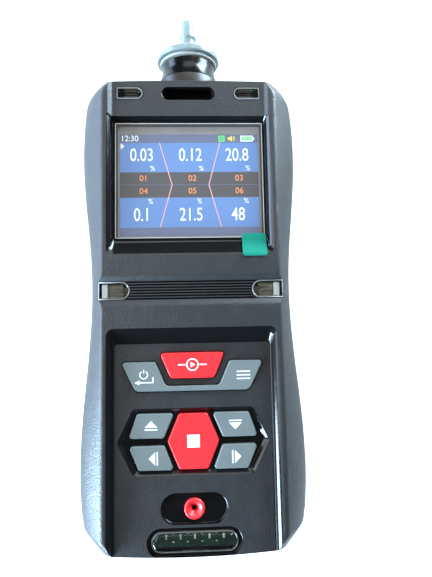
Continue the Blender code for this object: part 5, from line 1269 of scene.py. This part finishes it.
def inlet_pieces():
    axis = (0, 0, NECK_Z)
    inner_end = PARTING.top - NECK_INNER_END
    filter_seat = NECK_BASE_Y + FILTER_RISE
    socket = turned("socket", soften([
        (SPIGOT_RADIUS, COLLAR_TOP_Y), (SPIGOT_RADIUS, NECK_BASE_Y), (NECK_RADIUS, NECK_BASE_Y),
        (NECK_RADIUS, inner_end), (NOZZLE_BORE, inner_end), (NOZZLE_BORE, filter_seat),
        (SPIGOT_BORE, filter_seat), (SPIGOT_BORE, COLLAR_TOP_Y)], TURNED_ROUNDING), [SOCKET], axis, "Y")
    place(socket, "case", "inlet_socket", slot="socket_plastic")
    foot = NECK_BASE_Y + GAP
    grow = NECK_RADIUS - GAP - COLLAR_TOP_RADIUS
    outer = [(COLLAR_TOP_RADIUS - TURNED_ROUNDING, COLLAR_TOP_Y)]
    for i in range(COLLAR_STEPS + 1):
        share = i / COLLAR_STEPS
        flare = max(share - COLLAR_STRAIGHT, 0) ** COLLAR_POWER
        outer.append((COLLAR_TOP_RADIUS + grow * flare / (1 - COLLAR_STRAIGHT) ** COLLAR_POWER,
                      COLLAR_TOP_Y - TURNED_ROUNDING - (COLLAR_HEIGHT - TURNED_ROUNDING) * share))
    outer += [(SPIGOT_RADIUS + GAP, foot), (SPIGOT_RADIUS + GAP, COLLAR_TOP_Y)]
    place(turned("collar_ring", outer, [COLLAR], axis, "Y"), "case", "collar", slot="gloss_black")
    plug = SPIGOT_BORE - GAP
    seal_top = SEAL_BOTTOM_Y + SEAL_THICKNESS
    seal = soften([(SEAL_RADIUS, seal_top), (SEAL_RADIUS, SEAL_BOTTOM_Y), (plug + GAP, SEAL_BOTTOM_Y),
                   (plug + GAP, seal_top)], SEAL_ROUNDING)
    place(turned("seal_ring", seal, [CREAM], axis, "Y"), "filter", "filter_seal", slot="white_silicone")
    plug_low = filter_seat + GAP + FILTER_THICKNESS + GAP
    dome_y = CAP_SHOULDER_Y + CAP_DOME_RISE
    bulge_y = BARB_BASE_Y + BARB_LENGTH * BARB_BULGE
    cap = turned("cap_and_barb", soften([
        (BARB_TIP_RADIUS, TIP_Y), (BARB_RADIUS, bulge_y), (BARB_NECK_RADIUS, bulge_y - BARB_STEP),
        (BARB_NECK_RADIUS, BARB_BASE_Y + BARB_STEP), (BARB_NECK_RADIUS + BARB_FLARE, BARB_BASE_Y),
        (CAP_DOME_RADIUS, dome_y), (CAP_DOME_RADIUS + CAP_LIP, dome_y - CAP_LIP),
        (CAP_RADIUS - CAP_LIP, CAP_SHOULDER_Y + CAP_LIP), (CAP_RADIUS, CAP_SHOULDER_Y),
        (CAP_RADIUS, CAP_BOTTOM_Y), (plug, CAP_BOTTOM_Y), (plug, plug_low), (NOZZLE_BORE, plug_low),
        (NOZZLE_BORE, TIP_Y)],
        CAP_LIP), [CAP], axis, "Y")
    place(cap, "cap", "filter_cap", slot="translucent_plastic")


def outlet_funnel():
    rim = -KEYPAD_DEPTH + GAP
    floor = -KEYPAD_DEPTH - PORT_DEPTH + GAP
    end = CEILING_Z - STEM_REACH
    funnel = turned("funnel", soften([
        (FUNNEL_RADIUS - FUNNEL_EDGE, rim), (FUNNEL_RADIUS, rim - FUNNEL_SIDE), (FUNNEL_RADIUS, floor),
        (FUNNEL_STEM, floor), (FUNNEL_STEM, end), (FUNNEL_BORE, end), (FUNNEL_BORE, rim - FUNNEL_THROAT),
        (FUNNEL_RADIUS - FUNNEL_LIP, rim - FUNNEL_LIP_DROP)], TURNED_ROUNDING), [RED], (0, PORT_Y, 0))
    place(funnel, "case", "outlet_funnel", slot="red_plastic")


# ---------------------------------------------------------------- everything else of the CAD

def finish_cad_nodes():
    """Gives every CAD node the look of its material slot, for those that stay in view."""
    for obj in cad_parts.values():
        look = SLOT_LOOKS[obj.data.materials[0].name.split(".")[0]]
        for slot in obj.material_slots:
            slot.link = "OBJECT"
            slot.material = look


# ---------------------------------------------------------------- room, light and camera

FLOOR_SIZE, FLOOR_Z = 3, -0.0004
FLOOR_COLOR, FLOOR_ROUGHNESS, FLOOR_SHINE, FLOOR_GLOW = (0.86, 0.87, 0.88, 1), 0.9, 0.1, 0.70
SKY_COLOR, SKY_STRENGTH, BACKDROP = (0.80, 0.86, 0.93, 1), 0.14, (1, 1, 1, 1)
AIM = (0, 0, 0.02)
LIGHTS = (  # name, place, width, height, power, colour
    ("window_left_low", (-0.85, -0.61, 0.15), 0.9, 0.42, 84.0, (0.54, 0.77, 1.0)),
    ("window_left_high", (-0.85, 0.42, 0.16), 0.7, 0.45, 11.5, (0.50, 0.70, 1.0)),
    ("high_left", (-0.75, 0.10, 0.80), 0.8, 0.8, 8.0, (1.0, 0.98, 0.96)),
    ("top_soft", (0.10, 0.85, 0.75), 0.8, 0.5, 3.2, (1.0, 0.99, 0.97)),
    ("right_high", (0.64, 0.68, 0.25), 0.5, 0.5, 31.0, (0.66, 0.86, 1.0)),
)
CAMERA_PLACE, CAMERA_TILT = (0.00075, -0.02427, 0.20105), (5.609, -2.482, -1.136)
LENS_LENGTH, SENSOR_WIDTH, NEAREST = 31.2, 36.0, 0.01  # millimetres, millimetres, metres


def emission(tree, strength):
    node = tree.nodes.new("ShaderNodeEmission")
    node.inputs["Strength"].default_value = strength
    return node


def switch(tree, factor, off, on):
    """A shader that is the first one where the factor is 0 and the second where it is 1."""
    mix = tree.nodes.new("ShaderNodeMixShader")
    for i, output in enumerate((factor, off.outputs[0], on.outputs[0])):
        tree.links.new(output, mix.inputs[i])
    return mix


def floor_look():
    """Pale floor that reads as white to the camera and keeps the object's shadow."""
    material = bpy.data.materials.new("floor_look")
    material.use_nodes = True
    tree = material.node_tree
    diffuse = tree.nodes["Principled BSDF"]
    diffuse.inputs["Base Color"].default_value = FLOOR_COLOR
    diffuse.inputs["Roughness"].default_value = FLOOR_ROUGHNESS
    diffuse.inputs["Specular IOR Level"].default_value = FLOOR_SHINE
    shining, dark = emission(tree, FLOOR_GLOW), emission(tree, 0.0)
    path = tree.nodes.new("ShaderNodeLightPath")
    seen = tree.nodes.new("ShaderNodeMath")
    seen.operation = "MAXIMUM"
    tree.links.new(path.outputs["Is Camera Ray"], seen.inputs[0])
    tree.links.new(path.outputs["Is Transmission Ray"], seen.inputs[1])
    mix = switch(tree, seen.outputs[0], dark, shining)
    add = tree.nodes.new("ShaderNodeAddShader")
    tree.links.new(diffuse.outputs[0], add.inputs[0])
    tree.links.new(mix.outputs[0], add.inputs[1])
    tree.links.new(add.outputs[0], tree.nodes["Material Output"].inputs["Surface"])
    return material


def room():
    bm = bmesh.new()
    bmesh.ops.create_grid(bm, x_segments=1, y_segments=1, size=FLOOR_SIZE)
    mesh = bpy.data.meshes.new("floor")
    bm.to_mesh(mesh)
    bm.free()
    mesh.materials.append(floor_look())
    floor = bpy.data.objects.new("floor", mesh)
    floor.location.z = FLOOR_Z
    bpy.context.scene.collection.objects.link(floor)
    world = bpy.data.worlds.new("studio")
    bpy.context.scene.world = world
    world.use_nodes = True
    tree = world.node_tree
    sky, white = tree.nodes["Background"], tree.nodes.new("ShaderNodeBackground")
    sky.inputs["Color"].default_value = SKY_COLOR
    sky.inputs["Strength"].default_value = SKY_STRENGTH
    white.inputs["Color"].default_value = BACKDROP
    path = tree.nodes.new("ShaderNodeLightPath")
    mix = switch(tree, path.outputs["Is Camera Ray"], sky, white)
    tree.links.new(mix.outputs[0], tree.nodes["World Output"].inputs["Surface"])


def lights():
    for name, at, width, height, power, color in LIGHTS:
        data = bpy.data.lights.new(name, "AREA")
        data.shape = "RECTANGLE"
        data.size, data.size_y = width, height
        data.energy = power
        data.color = color
        light = bpy.data.objects.new(name, data)
        light.location = at
        light.rotation_euler = (Vector(AIM) - Vector(at)).to_track_quat("-Z", "Y").to_euler()
        bpy.context.scene.collection.objects.link(light)


def camera():
    data = bpy.data.cameras.new("camera")
    data.lens, data.sensor_width, data.clip_start = LENS_LENGTH, SENSOR_WIDTH, NEAREST
    obj = bpy.data.objects.new("camera", data)
    obj.location = CAMERA_PLACE
    obj.rotation_euler = Euler([math.radians(angle) for angle in CAMERA_TILT])
    bpy.context.scene.collection.objects.link(obj)
    bpy.context.scene.camera = obj


camera()
lights()
room()
key_lines = key_outlines()
lens_lines = lens_outlines()
front_housing(key_lines, lens_lines)
rear_housing()
key_pieces(key_lines)
key_prints()
display_pieces()
film_tab()
lens_pieces(lens_lines)
lamp_pieces()
inlet_pieces()
outlet_funnel()
finish_cad_nodes()

bpy.context.scene.view_settings.view_transform = "Standard"
